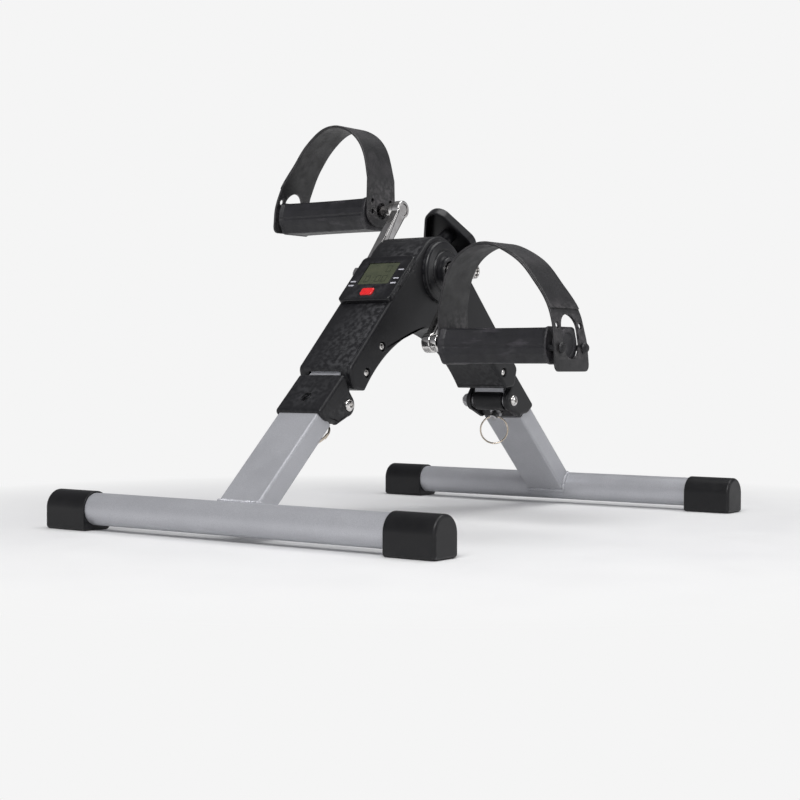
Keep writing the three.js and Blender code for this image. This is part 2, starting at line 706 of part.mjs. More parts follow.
// The axle lies along y through its own origin, with a drum in the middle for the brake pad.
function axle() {
  const { radius, drum, drumHalf, end } = AXLE;
  const shoulder = CRANK.inner - GAP;
  const tip = CRANK.inner + CRANK.thickness + 5;
  return turned([
    [0, -tip],
    [end, -tip],
    [end, -shoulder],
    [radius, -shoulder],
    [radius, -drumHalf],
    [drum, -drumHalf],
    [drum, drumHalf],
    [radius, drumHalf],
    [radius, shoulder],
    [end, shoulder],
    [end, tip],
    [0, tip],
  ], 20);
}

// The bar runs from its axle eye at the origin to its pedal eye at x = CRANK.radius.
function crank(hand) {
  const { radius, inner, thickness, eye, halfWidth, bevel } = CRANK;
  const neck = Math.asin(halfWidth / eye);
  const shape = new THREE.Shape();
  shape.absarc(0, 0, eye, neck, 2 * Math.PI - neck);
  shape.absarc(radius, 0, eye, Math.PI + neck, 3 * Math.PI - neck);
  const body = plate(shape, inner + bevel, inner + thickness - bevel, {
    ...bevelled(bevel),
    curveSegments: 6,
  });
  const hole = (x) => rod(AXLE.end + GAP, [x, inner - THROUGH, 0], [x, inner + thickness + THROUGH, 0]);
  const left = cut(body, hole(0), hole(radius));
  return hand > 0 ? left : left.rotateZ(Math.PI);
}

function crankNut(hand) {
  const low = CRANK.inner + CRANK.thickness + GAP;
  const high = low + 6.5;
  const nut = cut(
    turned([[0, low], [8, low], [8, low + 3.5], [6, high], [0, high]], 6),
    rod(AXLE.end + GAP, [0, low - THROUGH, 0], [0, CRANK.inner + CRANK.thickness + 5 + GAP, 0], 20),
  );
  return hand > 0 ? nut : nut.rotateZ(Math.PI);
}

function bearing(hand) {
  const race = ring(AXLE.radius + BEARING.fit, BEARING.radius, BEARING.inner, BEARING.outer, 32);
  return hand > 0 ? race : race.rotateZ(Math.PI);
}

// A plastic collar on the axle under the left hub cover; the reed switch beside it counts the turns.
function magnetCollar() {
  return ring(AXLE.radius + BEARING.fit, COLLAR.radius, COLLAR.low, COLLAR.high, 28);
}

function reedSwitch() {
  return box([REED.from, COLLAR.low, -REED.half], [REED.to, COLLAR.low + REED.thickness, REED.half]);
}

// ---------------------------------------------------------------- pedals

// The spindle screws into the crank and runs through the pedal, along +y from the crank.
function pedalSpindle() {
  const start = CRANK.inner + 0.6;
  const face = CRANK.inner + CRANK.thickness;
  const end = AXLE.end - GAP / 2;
  return turned([
    [0, start],
    [end, start],
    [end, face + GAP],
    [7.5, face + GAP],
    [7.5, face + 5],
    [6, face + 6.5],
    [5, face + 6.5],
    [5, PEDAL.end - 6],
    [0, PEDAL.end - 6],
  ], 16);
}

function pedalBody() {
  const { start, end, halfWidth, waist, top, bottom, ridge } = PEDAL;
  const section = outline([
    [-halfWidth + 6, bottom],
    [halfWidth - 6, bottom],
    [halfWidth, ridge - 4],
    [halfWidth, ridge + 4],
    [halfWidth - 5, top],
    [-halfWidth + 5, top],
    [-halfWidth, ridge + 4],
    [-halfWidth, ridge - 4],
  ]);
  const middle = (start + end) / 2;
  const plan = new THREE.Shape();
  plan.moveTo(-halfWidth, start);
  plan.lineTo(halfWidth, start);
  plan.lineTo(halfWidth, start + 8);
  plan.quadraticCurveTo(halfWidth - 2 * waist, middle, halfWidth, end - 8);
  plan.lineTo(halfWidth, end);
  plan.lineTo(-halfWidth, end);
  plan.lineTo(-halfWidth, end - 8);
  plan.quadraticCurveTo(-halfWidth + 2 * waist, middle, -halfWidth, start + 8);
  const bore = rod(5 + GAP, [0, start - THROUGH, 0], [0, end - 5, 0]);
  return cut(common(plate(section, start, end), slab(plan, bottom - 1, top + 1, { curveSegments: 6 })), bore);
}

// The band's side view is its path thickened by half the band's thickness on each side.
function strapOutline(name) {
  const path = new THREE.SplineCurve(STRAPS[name].path.map(([y, z]) => new THREE.Vector2(y, z)));
  const edge = (side) =>
    Array.from({ length: STRAP.segments + 1 }, (_, i) => {
      const at = i / STRAP.segments;
      const tangent = path.getTangent(at);
      const offset = new THREE.Vector2(-tangent.y, tangent.x).multiplyScalar((side * STRAP.thickness) / 2);
      return path.getPoint(at).add(offset);
    });
  return new THREE.Shape([...edge(1), ...edge(-1).reverse()]);
}

function pedalStrap(name) {
  const half = STRAP.width / 2;
  const { from, to } = STRAP;
  const { width, height, corner, middle } = STRAP_WINDOW;
  const outerWindow = slab(roundedRectangle(width, height, corner), from, to, { curveSegments: 3 })
    .rotateX(-Math.PI / 2)
    .translate(0, 0, middle);
  const pegHoles = pegPlaces().map(([x, z]) => rod(PEG.hole, [x, from, z], [x, to, z], 12));
  const spareHoles = pegPlaces().map(([x]) => rod(PEG.hole, [x, from, PEG.spareZ], [x, to, PEG.spareZ], 12));
  const spindleHole = rod(7.5, [0, 70, 0], [0, 80, 0]);
  return cut(bar(strapOutline(name), -half, half), outerWindow, ...pegHoles, ...spareHoles, spindleHole);
}

function pegPlaces() {
  return [[-PEG.x, PEG.z], [PEG.x, PEG.z]];
}

function strapPeg(name, [x, z]) {
  const head = STRAPS[name].pegHead;
  return turned([
    [0, PEDAL.end + GAP],
    [PEG.shank, PEDAL.end + GAP],
    [PEG.shank, head],
    [PEG.head, head],
    [PEG.head, head + 1.4],
    [PEG.head - 1.4, head + PEG.height],
    [0, head + PEG.height],
  ], 10).translate(x, 0, z);
}

function pedalAssembly(name, hand) {
  const group = new THREE.Group();
  group.position.set(
    hand * CRANK.radius * Math.cos(CRANK_ANGLE),
    0,
    HUB.height + hand * CRANK.radius * Math.sin(CRANK_ANGLE),
  );
  group.rotation.z = hand > 0 ? 0 : Math.PI;
  group.add(
    piece(`${name}_pedal_body`, pedalBody(), finish.softPlastic),
    piece(`${name}_pedal_spindle`, pedalSpindle(), finish.chrome),
    piece(`${name}_pedal_strap`, pedalStrap(name), finish.softPlastic),
    ...pegPlaces().map((place, i) =>
      piece(`${name}_strap_peg_${i + 1}`, strapPeg(name, place), finish.blackPlastic),
    ),
  );
  return group;
}

function driveAssembly() {
  const group = new THREE.Group();
  group.position.z = HUB.height;
  const cranks = new THREE.Group();
  cranks.rotation.y = -CRANK_ANGLE;
  cranks.add(
    piece("crank_left", crank(1), finish.chrome),
    piece("crank_right", crank(-1), finish.chrome),
    piece("crank_nut_left", crankNut(1), finish.chrome),
    piece("crank_nut_right", crankNut(-1), finish.chrome),
  );
  group.add(
    cranks,
    piece("axle", axle(), finish.chrome),
    piece("bearing_left", bearing(1), finish.zinc),
    piece("bearing_right", bearing(-1), finish.zinc),
    piece("magnet_collar", magnetCollar(), finish.blackPlastic),
    piece("reed_switch", reedSwitch(), finish.blackPlastic),
  );
  return group;
}

// ---------------------------------------------------------------- brake

// Rounded triangle with one lobe pointing up the slope, within a few degrees.
function lobedOutline(inset) {
  const shape = new THREE.Shape();
  const radius = KNOB.lobe - inset;
  for (let i = 0; i < 3; i++) {
    const angle = KNOB_TURN + (i * 2 * Math.PI) / 3;
    const x = KNOB.lobeAt * Math.cos(angle);
    const y = KNOB.lobeAt * Math.sin(angle);
    shape.absarc(x, y, radius, angle - Math.PI / 3, angle + Math.PI / 3);
  }
  return shape;
}

// The brake's frame: z runs out along the screw from the axle's centre line, y up the far slope.
function brakeAssembly() {
  const out = new THREE.Vector3(Math.sin(BRAKE_TILT), 0, Math.cos(BRAKE_TILT));
  const up = new THREE.Vector3(-Math.cos(BRAKE_TILT), 0, Math.sin(BRAKE_TILT));
  const across = new THREE.Vector3().crossVectors(up, out);
  const group = new THREE.Group();
  group.applyMatrix4(new THREE.Matrix4().makeBasis(across, up, out));
  group.position.z = HUB.height;
  group.add(
    piece("tension_knob", tensionKnob(), finish.blackPlastic),
    piece("tension_screw", tensionScrew(), finish.zinc),
    piece("friction_pad", frictionPad(), finish.felt),
  );
  return group;
}

const upright = (radius, low, high, sides) => rod(radius, [0, 0, low], [0, 0, high], sides);

function tensionKnob() {
  const { rim, top, wall, stem, bevel } = KNOB;
  const body = slab(lobedOutline(0), rim, top - bevel, { ...bevelled(bevel, 2), curveSegments: 5 });
  const squareRim = slab(lobedOutline(-1), rim - 10, rim, { curveSegments: 3 });
  const hollow = slab(lobedOutline(wall), rim - THROUGH, top - wall, { curveSegments: 5 });
  const shell = cut(body, squareRim, hollow);
  const boss = upright(stem, rim - 8, top - wall + 0.5, 20);
  return cut(join(shell, boss), upright(BRAKE.screw + GAP, 40, top - wall - 2, 16));
}

function tensionScrew() {
  return upright(BRAKE.screw, BRAKE.padHigh + GAP, KNOB.top - KNOB.wall - 3, 16);
}

function frictionPad() {
  return cut(
    upright(BRAKE.pad, BRAKE.padLow - 1, BRAKE.padHigh, 20),
    rod(AXLE.drum + 2.8, [-9, 0, 0], [9, 0, 0], 48),
  );
}

// ---------------------------------------------------------------- the whole object

const exerciser = new THREE.Group();
exerciser.add(
  legAssembly("near", false),
  legAssembly("far", true),
  piece("main_frame", mainFrame(), finish.greyPaint),
  piece("housing_shell", housingPart(false), finish.blackPlastic),
  piece("housing_side_cover", housingPart(true), finish.blackPlastic),
  piece("hub_cover_left", hubCover(1), finish.blackPlastic),
  piece("hub_cover_right", hubCover(-1), finish.blackPlastic),
  ...SCREWS.map((place) => piece(`housing_screw_${place.name}`, housingScrew(place), finish.zinc)),
  counterAssembly(),
  driveAssembly(),
  brakeAssembly(),
  pedalAssembly("left", 1),
  pedalAssembly("right", -1),
);

export default exerciser;
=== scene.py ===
import math

import bmesh
import bpy
from mathutils import Matrix, Vector

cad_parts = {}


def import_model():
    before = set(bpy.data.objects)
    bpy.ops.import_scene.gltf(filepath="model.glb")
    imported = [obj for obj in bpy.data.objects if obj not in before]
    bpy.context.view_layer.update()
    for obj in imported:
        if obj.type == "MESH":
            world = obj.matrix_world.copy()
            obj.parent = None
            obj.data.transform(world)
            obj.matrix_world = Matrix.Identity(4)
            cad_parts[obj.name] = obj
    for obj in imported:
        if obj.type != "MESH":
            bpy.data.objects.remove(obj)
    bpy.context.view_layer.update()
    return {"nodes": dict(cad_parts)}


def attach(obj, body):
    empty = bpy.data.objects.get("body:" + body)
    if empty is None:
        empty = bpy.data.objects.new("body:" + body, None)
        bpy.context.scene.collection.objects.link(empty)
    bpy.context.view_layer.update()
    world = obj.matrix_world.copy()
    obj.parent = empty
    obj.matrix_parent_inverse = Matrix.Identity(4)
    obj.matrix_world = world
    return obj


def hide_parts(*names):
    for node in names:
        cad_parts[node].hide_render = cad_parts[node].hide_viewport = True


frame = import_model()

MM = 0.001
TAU = 2 * math.pi
SMOOTH_BELOW = math.radians(34)  # edges sharper than this stay crisp

# Feet and legs
FOOT_X = 239.0
FOOT_HALF = 200.0
TUBE_RADIUS = 13.5
TUBE_HEIGHT = 17.5
CAP_LENGTH = 46.0
CAP_RADIUS = 15.0
CAP_CORNER = 3.0
LEG_ANGLE = math.radians(42.8)
LEG_WIDTH = 42.0
LEG_DEPTH = 19.4
LEG_CORNER = 2.2
LEG_END = 116.0
LEG_DROP = 2.0
SIDE_FACE = 24.0
PIVOT = (141.6, -10.3)
COVER_LIP = 12.0
COVER_TOP = 153.0
COVER_LOBE = 9.8
BRACKET_REACH = 18.8  # from the middle to the hollow that clears the bracket
BOLT_BORE = 4.4
LOCK_X = 128.0
LOCK_RADIUS = 4.0
LOCK_EYE = -18.5
RING_RADIUS = 13.0
RING_WIRE = 0.75
FAR_PIN_TURN = math.radians(-44)

# Housing
HUB_HEIGHT = 220.0
HOUSING_HALF = 27.9
HOUSING_WALL = 2.5
HOUSING_EDGE = 2.4
HOUSING_CROWN = 31.5
SLOPE_END = 129.0
TOE = (124.0, 118.0)
HEEL = (109.0, 116.5)
ARCH_CENTRE = 36.0
ARCH_RADIUS = 135.0
ARCH_REACH = 107.0  # from the middle to where the arch meets a heel
SEAM = -24.0
GAP = 0.3
BEYOND = 40.0  # how far a cutter runs past what it cuts
SCREW_PLACES = {
    "near_lower": (-105.5, 131.4),
    "near_upper": (-84.0, 153.5),
    "far_lower": (105.5, 131.4),
    "far_upper": (84.0, 153.5),
}
HUB_COVER_RADIUS = 27.5

# Counter
COUNTER_SIZE = 56.0
COUNTER_DOWN = 76.6
COUNTER_PROUD = 4.5
WINDOW_WIDTH = 33.6
WINDOW_HEIGHT = 27.4
WINDOW_UP = 5.6
BUTTON_UP = -18.0

# Drive and pedals
CRANK_RADIUS = 81.4
CRANK_INNER = 49.3
CRANK_THICKNESS = 9.0
CRANK_ANGLE = math.radians(50.8)
AXLE_RADIUS = 8.5
AXLE_END = 5.6
PEDAL_START = 78.0
PEDAL_END = 182.0
STRAP_THICKNESS = 2.2
STRAP_WIDTHS = [(0, 45), (0.12, 43), (0.27, 40), (0.5, 39.5), (0.72, 40), (0.84, 47), (0.93, 52), (1, 53.5)]
# The band's centre line beside the spindle: (distance from the object's middle, height above the spindle).
STRAP_ARCH = [(76.5, 30), (82, 53.5), (90.5, 68), (103.5, 77.3), (118, 80.8), (134, 77)]
STRAP_ENDS = {
    "left": [(152, 63), (166, 45.5), (179.5, 25), (185, 8), (186.5, -17)],
    "right": [(154, 65), (169, 48), (184, 26), (190, 2), (192, -24)],
}
PEG_HEADS = {"left": 188.2, "right": 193.0}

# Brake
BRAKE_TILT = math.radians(55)
KNOB_RIM = 56.0
KNOB_TOP = 67.0
KNOB_LOBE_AT = 16.0
KNOB_LOBE = 13.4
KNOB_TURN = math.radians(85)

# ---------------------------------------------------------------- frames


def basis(x_axis, y_axis, z_axis, origin):
    """A placement whose columns are three axes and an origin, in millimetres."""
    placed = Matrix((x_axis, y_axis, z_axis)).transposed().to_4x4()
    placed.translation = origin
    return placed


WORLD = Matrix.Identity(4)
HALF_TURN = Matrix.Rotation(math.pi, 4, "Z")
NEAR_LEG = basis(
    (math.cos(LEG_ANGLE), 0, math.sin(LEG_ANGLE)),
    (0, 1, 0),
    (-math.sin(LEG_ANGLE), 0, math.cos(LEG_ANGLE)),
    (-FOOT_X + LEG_DROP * math.sin(LEG_ANGLE), 0, TUBE_HEIGHT - LEG_DROP * math.cos(LEG_ANGLE)),
)
FAR_LEG = HALF_TURN @ NEAR_LEG
HUB = Matrix.Translation((0, 0, HUB_HEIGHT))
SLOPE_SUM = HUB_HEIGHT + HOUSING_CROWN * math.sqrt(2)
COUNTER = basis(
    (math.sqrt(0.5), 0, math.sqrt(0.5)),
    (0, 1, 0),
    (-math.sqrt(0.5), 0, math.sqrt(0.5)),
    (-COUNTER_DOWN * math.sqrt(0.5), 0, SLOPE_SUM - COUNTER_DOWN * math.sqrt(0.5)),
)
BRAKE = basis(
    (0, 1, 0),
    (-math.cos(BRAKE_TILT), 0, math.sin(BRAKE_TILT)),
    (math.sin(BRAKE_TILT), 0, math.cos(BRAKE_TILT)),
    (0, 0, HUB_HEIGHT),
)
LEGS = {"near": NEAR_LEG, "far": FAR_LEG}


def pedal_place(side):
    """The spindle's frame, with y measured outwards from the object's middle."""
    hand = 1 if side == "left" else -1
    reach = hand * CRANK_RADIUS
    across, up = reach * math.cos(CRANK_ANGLE), reach * math.sin(CRANK_ANGLE)
    centre = Matrix.Translation((across, 0, HUB_HEIGHT + up))
    return centre if hand > 0 else centre @ HALF_TURN


# ---------------------------------------------------------------- outlines


def quarter(steps):
    """The angles of a quarter turn, both ends included."""
    return [math.pi / 2 * k / steps for k in range(steps + 1)]


def arc(cx, cy, radius, start, end, steps):
    """Points along a circle, both ends included."""
    angles = [start + (end - start) * i / steps for i in range(steps + 1)]
    return [(cx + radius * math.cos(a), cy + radius * math.sin(a)) for a in angles]


def rounded_box(width, height, corner, cx=0.0, cy=0.0, steps=6):
    """A rounded rectangle, anticlockwise."""
    x, y = width / 2 - corner, height / 2 - corner
    points = []
    for i, (sx, sy) in enumerate([(1, -1), (1, 1), (-1, 1), (-1, -1)]):
        start = (i - 1) * math.pi / 2
        points += arc(cx + sx * x, cy + sy * y, corner, start, start + math.pi / 2, steps)
    return points


def filleted(corners, steps=6):
    """Rounds each (x, y, radius) corner of a polygon."""
    points = []
    for i, (x, y, radius) in enumerate(corners):
        here = Vector((x, y))
        before = (Vector(corners[i - 1][:2]) - here).normalized()
        after = (Vector(corners[(i + 1) % len(corners)][:2]) - here).normalized()
        half = before.angle(after) / 2
        if radius <= 0 or abs(half - math.pi / 2) < 0.01:
            points.append((x, y))
            continue
        middle = here + (before + after).normalized() * radius / math.sin(half)
        reach = radius / math.tan(half)
        first = here + before * reach - middle
        last = here + after * reach - middle
        turn = first.angle_signed(last)
        for k in range(steps + 1):
            spoke = first.copy()
            spoke.rotate(Matrix.Rotation(-turn * k / steps, 2))
            points.append((middle.x + spoke.x, middle.y + spoke.y))
    return points


def anticlockwise(points):
    area = sum(a[0] * b[1] - b[0] * a[1] for a, b in zip(points, points[1:] + points[:1]))
    return points if area > 0 else points[::-1]


def inset(points, distance):
    """The outline drawn in by a distance, with the same number of points."""
    drawn = []
    for i, (x, y) in enumerate(points):
        before = Vector((x, y)) - Vector(points[i - 1])
        after = Vector(points[(i + 1) % len(points)]) - Vector((x, y))
        if before.length < 1e-6:
            before = after
        if after.length < 1e-6:
            after = before
        first = Vector((-before.y, before.x)).normalized()
        second = Vector((-after.y, after.x)).normalized()
        mitre = first + second
        step = mitre * (distance / max(1 + first.dot(second), 0.3))
        drawn.append((x + step.x, y + step.y))
    return drawn


# ---------------------------------------------------------------- meshes


def add_mesh(bm, place):
    """A mesh object, in metres, from a mesh drawn in millimetres."""
    bmesh.ops.remove_doubles(bm, verts=bm.verts, dist=1e-4)
    bmesh.ops.transform(bm, matrix=Matrix.Scale(MM, 4) @ place, verts=bm.verts)
    bmesh.ops.recalc_face_normals(bm, faces=bm.faces)
    mesh = bpy.data.meshes.new("part")
    bm.to_mesh(mesh)
    bm.free()
    made = bpy.data.objects.new("part", mesh)
    bpy.context.scene.collection.objects.link(made)
    return made


def skin(loops, place=WORLD, closed=False):
    """A skin through loops with equal numbers of points, capped unless its last loop joins its first."""
    bm = bmesh.new()
    rows = [[bm.verts.new(point) for point in loop] for loop in loops]
    pairs = list(zip(rows, rows[1:]))
    if closed:
        pairs.append((rows[-1], rows[0]))
    for low, high in pairs:
        for i in range(len(low)):
            j = (i + 1) % len(low)
            bm.faces.new((low[i], low[j], high[j], high[i]))
    if not closed:
        caps = [bm.faces.new(rows[0][::-1]), bm.faces.new(rows[-1])]
        bmesh.ops.triangulate(bm, faces=caps, ngon_method="EAR_CLIP")
    return add_mesh(bm, place)


def edge_profile(low, high, low_edge, high_edge, steps):
    """(inset, height) pairs that round both ends of an extrusion."""
    angles = quarter(steps)
    start = [(low_edge * (1 - math.sin(a)), low + low_edge * (1 - math.cos(a))) for a in angles]
    finish = [(high_edge * (1 - math.sin(a)), high - high_edge * (1 - math.cos(a))) for a in angles]
    return (start if low_edge else [(0, low)]) + (finish[::-1] if high_edge else [(0, high)])


ALONG = {
    "x": lambda a, b, c: (c, a, b),
    "y": lambda a, b, c: (a, c, b),
    "z": lambda a, b, c: (a, b, c),
}


def prism(points, low, high, axis, place=WORLD, edge=0.0, far_edge=None, steps=5):
    """An outline extruded along an axis, with rounded edges. Along y its points are x and z."""
    points = anticlockwise(points)
    point = ALONG[axis]
    profile = edge_profile(low, high, edge, edge if far_edge is None else far_edge, steps)
    return skin([[point(a, b, c) for a, b in inset(points, d)] for d, c in profile], place)


def lathe(profile, axis="y", place=WORLD, sides=72, closed=False):
    """A solid of revolution from (radius, distance along the axis) pairs, joined end to end if closed."""
    point = ALONG[axis]
    turns = [TAU * i / sides for i in range(sides)]
    loops = [[point(r * math.cos(a), r * math.sin(a), c) for a in turns] for r, c in profile]
    return skin(loops, place, closed)


def rod(radius, start, end, place=WORLD, sides=48):
    """A cylinder between two points."""
    start, end = Vector(start), Vector(end)
    length = (end - start).length
    turn = (end - start).to_track_quat("Z", "Y").to_matrix().to_4x4()
    turn.translation = start
    return lathe([(0, 0), (radius, 0), (radius, length), (0, length)], "z", place @ turn, sides)


def block(low, high, place=WORLD):
    points = [(low[0], low[1]), (high[0], low[1]), (high[0], high[1]), (low[0], high[1])]
    return prism(points, low[2], high[2], "z", place)


def swept(path, radius_at, place=WORLD, sides=14, closed=False):
    """A round section swept along 3-D points; radius_at takes the share of the way along."""
    path = [Vector(p) for p in path]
    count = len(path)
    loops = []
    normal = None
    for i, point in enumerate(path):
        ahead = path[(i + 1) % count] if closed or i < count - 1 else point
        behind = path[i - 1] if closed or i > 0 else point
        along = (ahead - behind).normalized()
        if normal is None:
            normal = along.orthogonal().normalized()
        normal = (normal - along * normal.dot(along)).normalized()
        across = along.cross(normal)
        radius = radius_at(i / (count - 1))
        loops.append([
            point + (normal * math.cos(a) + across * math.sin(a)) * radius
            for a in [TAU * k / sides for k in range(sides)]
        ])
    return skin(loops, place, closed)


def bake(target):
    """Turns the modifiers into mesh."""
    bpy.context.view_layer.update()
    evaluated = target.evaluated_get(bpy.context.evaluated_depsgraph_get())
    mesh = bpy.data.meshes.new_from_object(evaluated)
    target.modifiers.clear()
    target.data = mesh
    return target


def combine(target, others, operation):
    for other in others:
        change = target.modifiers.new(operation, "BOOLEAN")
        change.operation = operation
        change.solver = "MANIFOLD"
        change.object = other
    bake(target)
    for other in others:
        bpy.data.objects.remove(other)
    return target


def cut(target, *cutters):
    return combine(target, cutters, "DIFFERENCE")


def joined(target, *others):
    return combine(target, others, "UNION")


def common(target, *others):
    return combine(target, others, "INTERSECT")


def gathered(target, *others):
    """One object from several separate shells."""
    bm = bmesh.new()
    for each in (target, *others):
        bm.from_mesh(each.data)
    bm.to_mesh(target.data)
    bm.free()
    for other in others:
        bpy.data.objects.remove(other)
    return target


def piece(name, target, look, body, *nodes, slot=None):
    """Names a finished shape, dresses it, and ties it to its CAD body and nodes. Its slot argument is not
    used.
    """
    target.name = name
    mesh = target.data
    mesh.name = name
    mesh.materials.clear()
    mesh.materials.append(LOOKS[look])
    mesh.shade_smooth()
    mesh.set_sharp_from_angle(angle=SMOOTH_BELOW)
    weighted = target.modifiers.new("normals", "WEIGHTED_NORMAL")
    weighted.keep_sharp = True
    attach(target, body)
    if nodes:
        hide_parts(*nodes)
    return target


# ---------------------------------------------------------------- materials


class Graph:
    """A short way to build one material's nodes. Texture positions are in millimetres of the rest frame."""

    def __init__(self, name):
        self.material = bpy.data.materials.new(name)
        self.material.use_nodes = True
        self.tree = self.material.node_tree
        self.shader = self.tree.nodes["Principled BSDF"]
        where = self.tree.nodes.new("ShaderNodeTexCoord")
        scale = self.tree.nodes.new("ShaderNodeVectorMath")
        scale.operation = "SCALE"
        scale.inputs["Scale"].default_value = 1 / MM
        self.tree.links.new(where.outputs["Object"], scale.inputs[0])
        self.position = scale.outputs[0]

    def link(self, source, target):
        self.tree.links.new(source, target)

    def noise(self, size, detail=3.0, roughness=0.55, stretch=None):
        """Soft random values; size is the width of a patch in millimetres."""
        place = self.position
        if stretch:
            mapping = self.tree.nodes.new("ShaderNodeMapping")
            mapping.inputs["Scale"].default_value = stretch
            self.link(place, mapping.inputs["Vector"])
            place = mapping.outputs["Vector"]
        node = self.tree.nodes.new("ShaderNodeTexNoise")
        node.inputs["Scale"].default_value = 1 / size
        node.inputs["Detail"].default_value = detail
        node.inputs["Roughness"].default_value = roughness
        self.link(place, node.inputs["Vector"])
        return node.outputs["Fac"]

    def cells(self, size):
        node = self.tree.nodes.new("ShaderNodeTexVoronoi")
        node.inputs["Scale"].default_value = 1 / size
        self.link(self.position, node.inputs["Vector"])
        return node.outputs["Distance"]

    def spread(self, value, low, high, from_low=0.3, from_high=0.7):
        """Maps a value to a range."""
        node = self.tree.nodes.new("ShaderNodeMapRange")
        limits = {"From Min": from_low, "From Max": from_high, "To Min": low, "To Max": high}
        for label, number in limits.items():
            node.inputs[label].default_value = number
        self.link(value, node.inputs["Value"])
        return node.outputs["Result"]

    def highlit_worn_edges(self, strength):
        """High on convex edges, broken up by noise: a painted edge highlight that also stands for rubbed
        wear.
        """
        geometry = self.tree.nodes.new("ShaderNodeNewGeometry")
        raised = self.spread(geometry.outputs["Pointiness"], 0, strength, 0.52, 0.62)
        product = self.tree.nodes.new("ShaderNodeMath")
        product.operation = "MULTIPLY"
        self.link(raised, product.inputs[0])
        self.link(self.spread(self.noise(4), 0, 1, 0.42, 0.6), product.inputs[1])
        return product.outputs[0]

    def blend(self, factor, first, second):
        """Mixes two colours, each given as three numbers or as another node's output."""
        node = self.tree.nodes.new("ShaderNodeMix")
        node.data_type = "RGBA"
        self.link(factor, node.inputs["Factor"])
        colour_sockets = [s for s in node.inputs if s.type == "RGBA"]
        for socket, value in zip(colour_sockets, (first, second)):
            if isinstance(value, tuple):
                socket.default_value = (*value, 1)
            else:
                self.link(value, socket)
        return next(s for s in node.outputs if s.type == "RGBA")

    def bumps(self, *layers):
        """Each layer is (height, depth in millimetres)."""
        normal = None
        for height, depth in layers:
            node = self.tree.nodes.new("ShaderNodeBump")
            node.inputs["Distance"].default_value = depth * MM
            self.link(height, node.inputs["Height"])
            if normal is not None:
                self.link(normal, node.inputs["Normal"])
            normal = node.outputs["Normal"]
        self.link(normal, self.shader.inputs["Normal"])

    def colour(self, source):
        self.link(source, self.shader.inputs["Base Color"])

    def roughness(self, source):
        self.link(source, self.shader.inputs["Roughness"])

    def set(self, **values):
        for label, value in values.items():
            self.shader.inputs[label.replace("_", " ")].default_value = value


def silver_paint():
    """Powder coat: a fine metallic fleck under a slight orange peel, dusty in broad patches."""
    g = Graph("silver_paint")
    fleck = g.spread(g.noise(0.5, 2), 0, 1, 0.35, 0.65)
    base = g.blend(fleck, (0.40, 0.405, 0.43), (0.52, 0.525, 0.555))
    patch = g.spread(g.noise(38, 4), 0, 0.35, 0.4, 0.7)
    g.colour(g.blend(patch, base, (0.36, 0.365, 0.39)))
    g.roughness(g.spread(g.noise(9, 4), 0.34, 0.50))
    g.set(Metallic=0.35)
    g.bumps((g.noise(2.6, 2), 0.05), (g.noise(0.5, 2), 0.012))
    return g.material


def moulded(name, dark, light, rough, grain, depth, edge_highlight_and_wear, sheen):
    """Moulded plastic with a spark-eroded grain, paler on its edges with a painted highlight and rubbed wear.
    """
    g = Graph(name)
    tone = g.blend(g.spread(g.noise(24, 5), 0, 1), dark, light)
    # Pale convex edges: a painted highlight, also standing for rubbed wear.
    g.colour(g.blend(g.highlit_worn_edges(edge_highlight_and_wear), tone, (0.10, 0.10, 0.105)))
    g.roughness(g.spread(g.noise(12, 5, 0.65), *rough))
    g.set(Specular_IOR_Level=sheen)
    g.bumps((g.noise(grain, 3), depth), (g.noise(grain * 7, 2), depth))
    return g.material


def pedal_plastic():
    """Soft black moulding with a leathery grain and pale rubbed streaks."""
    g = Graph("pedal_plastic")
    tone = g.blend(g.spread(g.noise(14, 5), 0, 1), (0.007, 0.007, 0.009), (0.014, 0.0135, 0.017))
    streak = g.spread(g.noise(7, 5, 0.6, (1, 0.22, 1)), 0, 0.75, 0.56, 0.72)
    rubbed = g.blend(streak, tone, (0.062, 0.056, 0.066))
    # Paler on convex edges: a painted edge highlight, also standing for rubbed wear.
    g.colour(g.blend(g.highlit_worn_edges(0.9), rubbed, (0.12, 0.11, 0.12)))
    g.roughness(g.spread(g.noise(8, 5, 0.65), 0.42, 0.68))
    g.bumps((g.cells(1.5), 0.05), (g.noise(0.7, 3), 0.02), (g.noise(9, 3), 0.12))
    return g.material


def strap_plastic():
    """Flexible band, dull black, mottled greyer in patches."""
    g = Graph("strap_plastic")
    tone = g.blend(g.spread(g.noise(18, 5), 0, 1), (0.009, 0.009, 0.010), (0.017, 0.0165, 0.018))
    bloom = g.spread(g.noise(30, 5, 0.6), 0, 0.8, 0.5, 0.68)
    chalky = g.blend(bloom, tone, (0.040, 0.037, 0.040))
    # Paler on convex edges: a painted edge highlight, also standing for rubbed wear.
    g.colour(g.blend(g.highlit_worn_edges(0.8), chalky, (0.16, 0.15, 0.155)))
    g.roughness(g.spread(g.noise(10, 5, 0.6), 0.38, 0.60))
    g.bumps((g.noise(0.6, 3), 0.02), (g.noise(5, 3), 0.06))
    return g.material


def metal(name, dark, light, rough, depth=0.01):
    """Bare or plated metal with smears in its polish and a fine grain."""
    g = Graph(name)
    g.colour(g.blend(g.spread(g.noise(6, 5), 0, 1), dark, light))
    g.roughness(g.spread(g.noise(5, 6, 0.65), *rough))
    g.set(Metallic=1.0)
    g.bumps((g.noise(0.8, 3, 0.5, (1, 1, 1)), depth), (g.noise(11, 2), depth * 2))
    return g.material


def red_plastic():
    g = Graph("red_plastic")
    g.colour(g.blend(g.spread(g.noise(3, 4), 0, 1), (0.66, 0.008, 0.012), (0.80, 0.018, 0.02)))
    g.roughness(g.spread(g.noise(2.5, 4), 0.18, 0.34))
    g.set(Coat_Weight=0.4, Coat_Roughness=0.1)
    g.bumps((g.noise(0.9, 3), 0.03))
    return g.material


